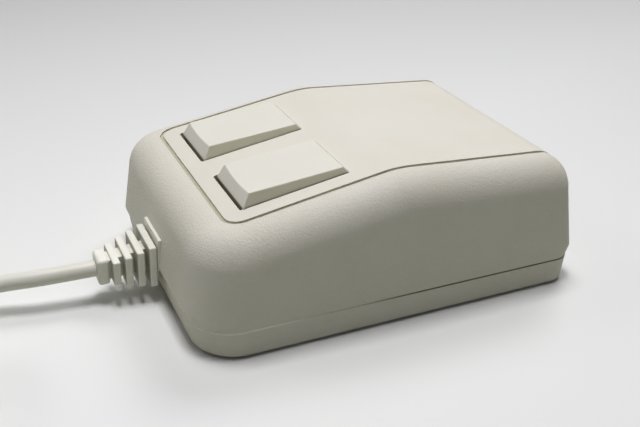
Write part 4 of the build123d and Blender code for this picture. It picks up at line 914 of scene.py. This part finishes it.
@dataclass
class Cord:
    """The free cord: its route, the put-away turns, the boot, the tie and the plug. In millimetres."""

    radius: float = 1.95
    length: float = 1184.0
    exit: Point = (0.0, 63.31, 8.7)
    lead_in: tuple[Point, ...] = (
        (0.4, 75, 8.4), (3.4, 86, 7.3), (5.2, 97, 4.6), (5.1, 108, 2.45),
    )
    lead_out: tuple[Point, ...] = (
        (4.1, 127.3, 4.9), (4.6, 136.2, 2.6), (4.5, 147.2, 1.95), (-3.41, 155.1, 1.95),
        (-14.59, 155.1, 2.9), (-22.5, 147.2, 5.4), (-22.5, 136.2, 7.75),
    )
    coil_centre: tuple[float, float] = (31.35, 118.0)
    coil_radii: tuple[float, ...] = (26.85, 22.95, 19.05, 15.15)
    coil_layers: tuple[float, float] = (2.45, 6.35)
    points_per_turn: int = 20
    crossing_share: float = 0.3
    order: int = 3
    steps_along: int = 5
    steps_round: int = 5
    carried: tuple[str, ...] = (
        "strain_relief", "cable_tie", "plug_hood", "plug_shell", "plug_insert", "plug_contacts",
    )

    def turn_size(self, turn: int) -> tuple[float, float]:
        """The radius and height of one of the eight turns.

        Args:
            turn: Its number, from the outer lower one inwards, then outwards on top.

        Returns:
            Its radius and height in millimetres.
        """
        last = len(self.coil_radii) - 1
        if turn <= last:
            return self.coil_radii[turn], self.coil_layers[0]
        return self.coil_radii[max(0, 2 * last + 1 - turn)], self.coil_layers[1]

    def coil(self) -> list[Point]:
        """The points of the turns, which cross over to the next one near the end of each.

        Returns:
            The points in millimetres.
        """
        points = []
        turns = 2 * len(self.coil_radii)
        # The curve cuts the corners of its points, so they stand a little wider than it runs.
        widen = 2 / (1 + math.cos(math.pi / self.points_per_turn))
        for step in range(turns * self.points_per_turn + 1):
            turn, part = divmod(step / self.points_per_turn, 1.0)
            here, after = self.turn_size(int(turn)), self.turn_size(min(int(turn) + 1, turns - 1))
            ease = max(0.0, (part - 1 + self.crossing_share) / self.crossing_share)
            ease = ease * ease * (3 - 2 * ease)
            radius = (here[0] + (after[0] - here[0]) * ease) * widen
            angle = math.pi - 2 * math.pi * part
            points.append((
                self.coil_centre[0] + radius * math.cos(angle),
                self.coil_centre[1] + radius * math.sin(angle),
                here[1] + (after[1] - here[1]) * ease,
            ))
        return points

    def build(self) -> bpy.types.Object:
        """Makes the cord as one spline along its route.

        Returns:
            The cord's object.
        """
        route = [self.exit, *self.lead_in, *self.coil(), *self.lead_out]
        curve = bpy.data.curves.new("cord", "CURVE")
        curve.dimensions = "3D"
        curve.bevel_depth = self.radius * MM
        curve.bevel_resolution = self.steps_round
        curve.resolution_u = self.steps_along
        curve.use_fill_caps = True
        spline = curve.splines.new("NURBS")
        spline.points.add(len(route) - 1)
        for point, place in zip(spline.points, route):
            point.co = (*(v * MM for v in place), 1.0)
        spline.order_u = self.order
        spline.use_endpoint_u = True
        piece = add_object("cord", curve)
        curve.materials.append(CORD.make())
        LOG.info("cord: %d points", len(route))
        return piece

    def dress(self) -> None:
        """Builds the cord and gives what is on it its finish."""
        cord = self.build()
        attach(cord, "case")
        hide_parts("cable", "cable_coil", "cable_tail")
        dress("strain_relief", BOOT)
        dress("cable_tie", PAD)
        dress("plug_hood", HOOD)
        dress("plug_shell", TIN)
        dress("plug_insert", CHIP)
        dress("plug_contacts", GOLD)


@dataclass(frozen=True)
class Lamp:
    """A square lamp, with its size in metres and its power in watts."""

    name: str
    place: Point
    aim: Point
    size: float
    power: float

    def hang(self) -> None:
        """Puts the lamp into the scene, facing its aim."""
        lamp = bpy.data.lights.new(self.name, "AREA")
        lamp.shape = "SQUARE"
        lamp.size = self.size
        lamp.energy = self.power
        holder = add_object(self.name, lamp)
        holder.location = self.place
        holder.rotation_euler = (Vector(self.aim) - Vector(self.place)).to_track_quat("-Z", "Y").to_euler()


@dataclass
class Studio:
    """The pale desk, the lamps, the surrounding light and the camera."""

    desk_size: float = 4.0
    sheet: Colour = (0.833, 0.833, 0.836)
    # Painted shade: the seen sheet darkens towards this colour.
    sheet_far_shade: Colour = (0.625, 0.625, 0.627)
    sheet_bounce: Colour = (0.57, 0.585, 0.52)
    sheet_roughness: float = 0.85
    sheet_specular: float = 0.2
    fade_way: Point = (1.0, 0.45, 0.0)
    fade: Span = (0.03, 0.30)
    weave: Pattern = (900.0, 2.0, 0.5)
    weave_depth: float = 0.02 * MM
    # Painted glow that keeps the sheet pale far off where it is seen.
    far_glow: float = 0.29
    far_range: Span = (0.42, 0.95)
    world_level: float = 0.078
    backdrop_level: float = 0.56
    lamps: tuple[Lamp, ...] = (
        Lamp("key", place=(0.01, 0.055, 0.60), aim=(0.01, 0.055, 0.0), size=0.17, power=2.25),
        Lamp("softbox", place=(0.75, -0.85, 1.50), aim=(0.0, 0.0, 0.0), size=0.70, power=10.8),
        Lamp("front fill", place=(0.35, 0.60, 0.60), aim=(0.0, 0.0, 0.0), size=0.30, power=0.65),
    )
    camera_place: Point = (-0.16833409, 0.09179594, 0.11465076)
    camera_turn: float = -116.94
    camera_height: float = 28.45
    camera_roll: float = 3.35
    camera_near: float = 0.01
    lens: float = 47.35
    sensor: float = 36.0

    def shown(self, graph: Graph) -> Socket:
        """Masks what is seen straight on, in a reflection or through clear resin.

        Args:
            graph: The graph that asks.

        Returns:
            The mask's socket.
        """
        path = graph.node("ShaderNodeLightPath").outputs
        mirrored = graph.sum(Sum.MAX, path["Is Glossy Ray"], path["Is Transmission Ray"])
        return graph.sum(Sum.MAX, path["Is Camera Ray"], mirrored)

    def desk(self) -> None:
        """Lays the pale, finely woven sheet that the mouse stands on, with painted shade that darkens it
        towards +X where it is seen, and a painted glow that keeps it pale far off.
        """
        bpy.ops.object.select_all(action="DESELECT")
        bpy.ops.mesh.primitive_plane_add(size=self.desk_size, location=(0, 0, 0))
        desk = bpy.context.object
        desk.name = "desk"
        material, graph, shader = start_material("white_sheet")
        place = graph.place()
        seen = graph.node("ShaderNodeLightPath").outputs["Is Camera Ray"]
        # Painted shade that darkens the seen sheet towards +X.
        away = graph.vector_sum(VectorSum.DOT, place, self.fade_way)
        sheet = graph.mix(graph.spread(away, self.fade, smooth=False), self.sheet, self.sheet_far_shade)
        # Painted glow on the far sheet, where it is seen.
        far = graph.vector_sum(VectorSum.LENGTH, place)
        glow = graph.spread(far, self.far_range, (0.0, self.far_glow))
        graph.fill(
            shader,
            Base_Color=graph.mix(seen, self.sheet_bounce, sheet),
            Roughness=self.sheet_roughness,
            Specular_IOR_Level=self.sheet_specular,
            Emission_Color=PURE_WHITE,
            Emission_Strength=graph.times(glow, self.shown(graph)),
        )
        add_bump(graph, shader, graph.noise(place, self.weave), self.weave_depth)
        desk.data.materials.append(material)

    def light(self) -> None:
        """Hangs the lamps and sets the surrounding light, faint for shading and pale where it is seen."""
        for lamp in self.lamps:
            lamp.hang()
        world = bpy.data.worlds.new("studio")
        world.use_nodes = True
        graph = Graph(world.node_tree)
        levels = (self.world_level, self.backdrop_level)
        around = graph.fill(graph.node("ShaderNodeBackground"), Color=PURE_WHITE,
                            Strength=graph.spread(self.shown(graph), UNIT, levels, smooth=False))
        graph.fill(graph.node("ShaderNodeOutputWorld"), Surface=around.outputs["Background"])
        bpy.context.scene.world = world

    def camera(self) -> None:
        """Stands the camera at its place, turned by azimuth, height and roll."""
        turn, height, roll = map(math.radians, (self.camera_turn, self.camera_height, self.camera_roll))
        level = math.cos(height)
        back = Vector((math.sin(turn) * level, -math.cos(turn) * level, math.sin(height)))
        side = (-back).cross(Vector((0, 0, 1))).normalized()
        up = side.cross(-back)
        right = math.cos(roll) * side + math.sin(roll) * up
        top = -math.sin(roll) * side + math.cos(roll) * up
        data = bpy.data.cameras.new("camera")
        data.lens = self.lens
        data.sensor_width = self.sensor
        data.sensor_fit = "HORIZONTAL"
        data.clip_start = self.camera_near
        camera = add_object("camera", data)
        turned = Matrix((right, top, back)).transposed().to_4x4()
        camera.matrix_world = Matrix.Translation(self.camera_place) @ turned
        bpy.context.scene.camera = camera

    def set_up(self) -> None:
        """Builds the desk, the light and the camera."""
        self.desk()
        self.light()
        self.camera()
        bpy.context.scene.view_settings.view_transform = "Standard"


def main() -> None:
    """Dresses the mouse and sets the studio up."""
    logging.basicConfig(level=logging.INFO, format="%(name)s: %(message)s")
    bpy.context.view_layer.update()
    for assembly in (Casing(), Keys(), BallDrive(), Electronics(), Cord()):
        assembly.dress()
        LOG.info("%s dressed", type(assembly).__name__)
    Studio().set_up()


if __name__ == "__main__":
    main()
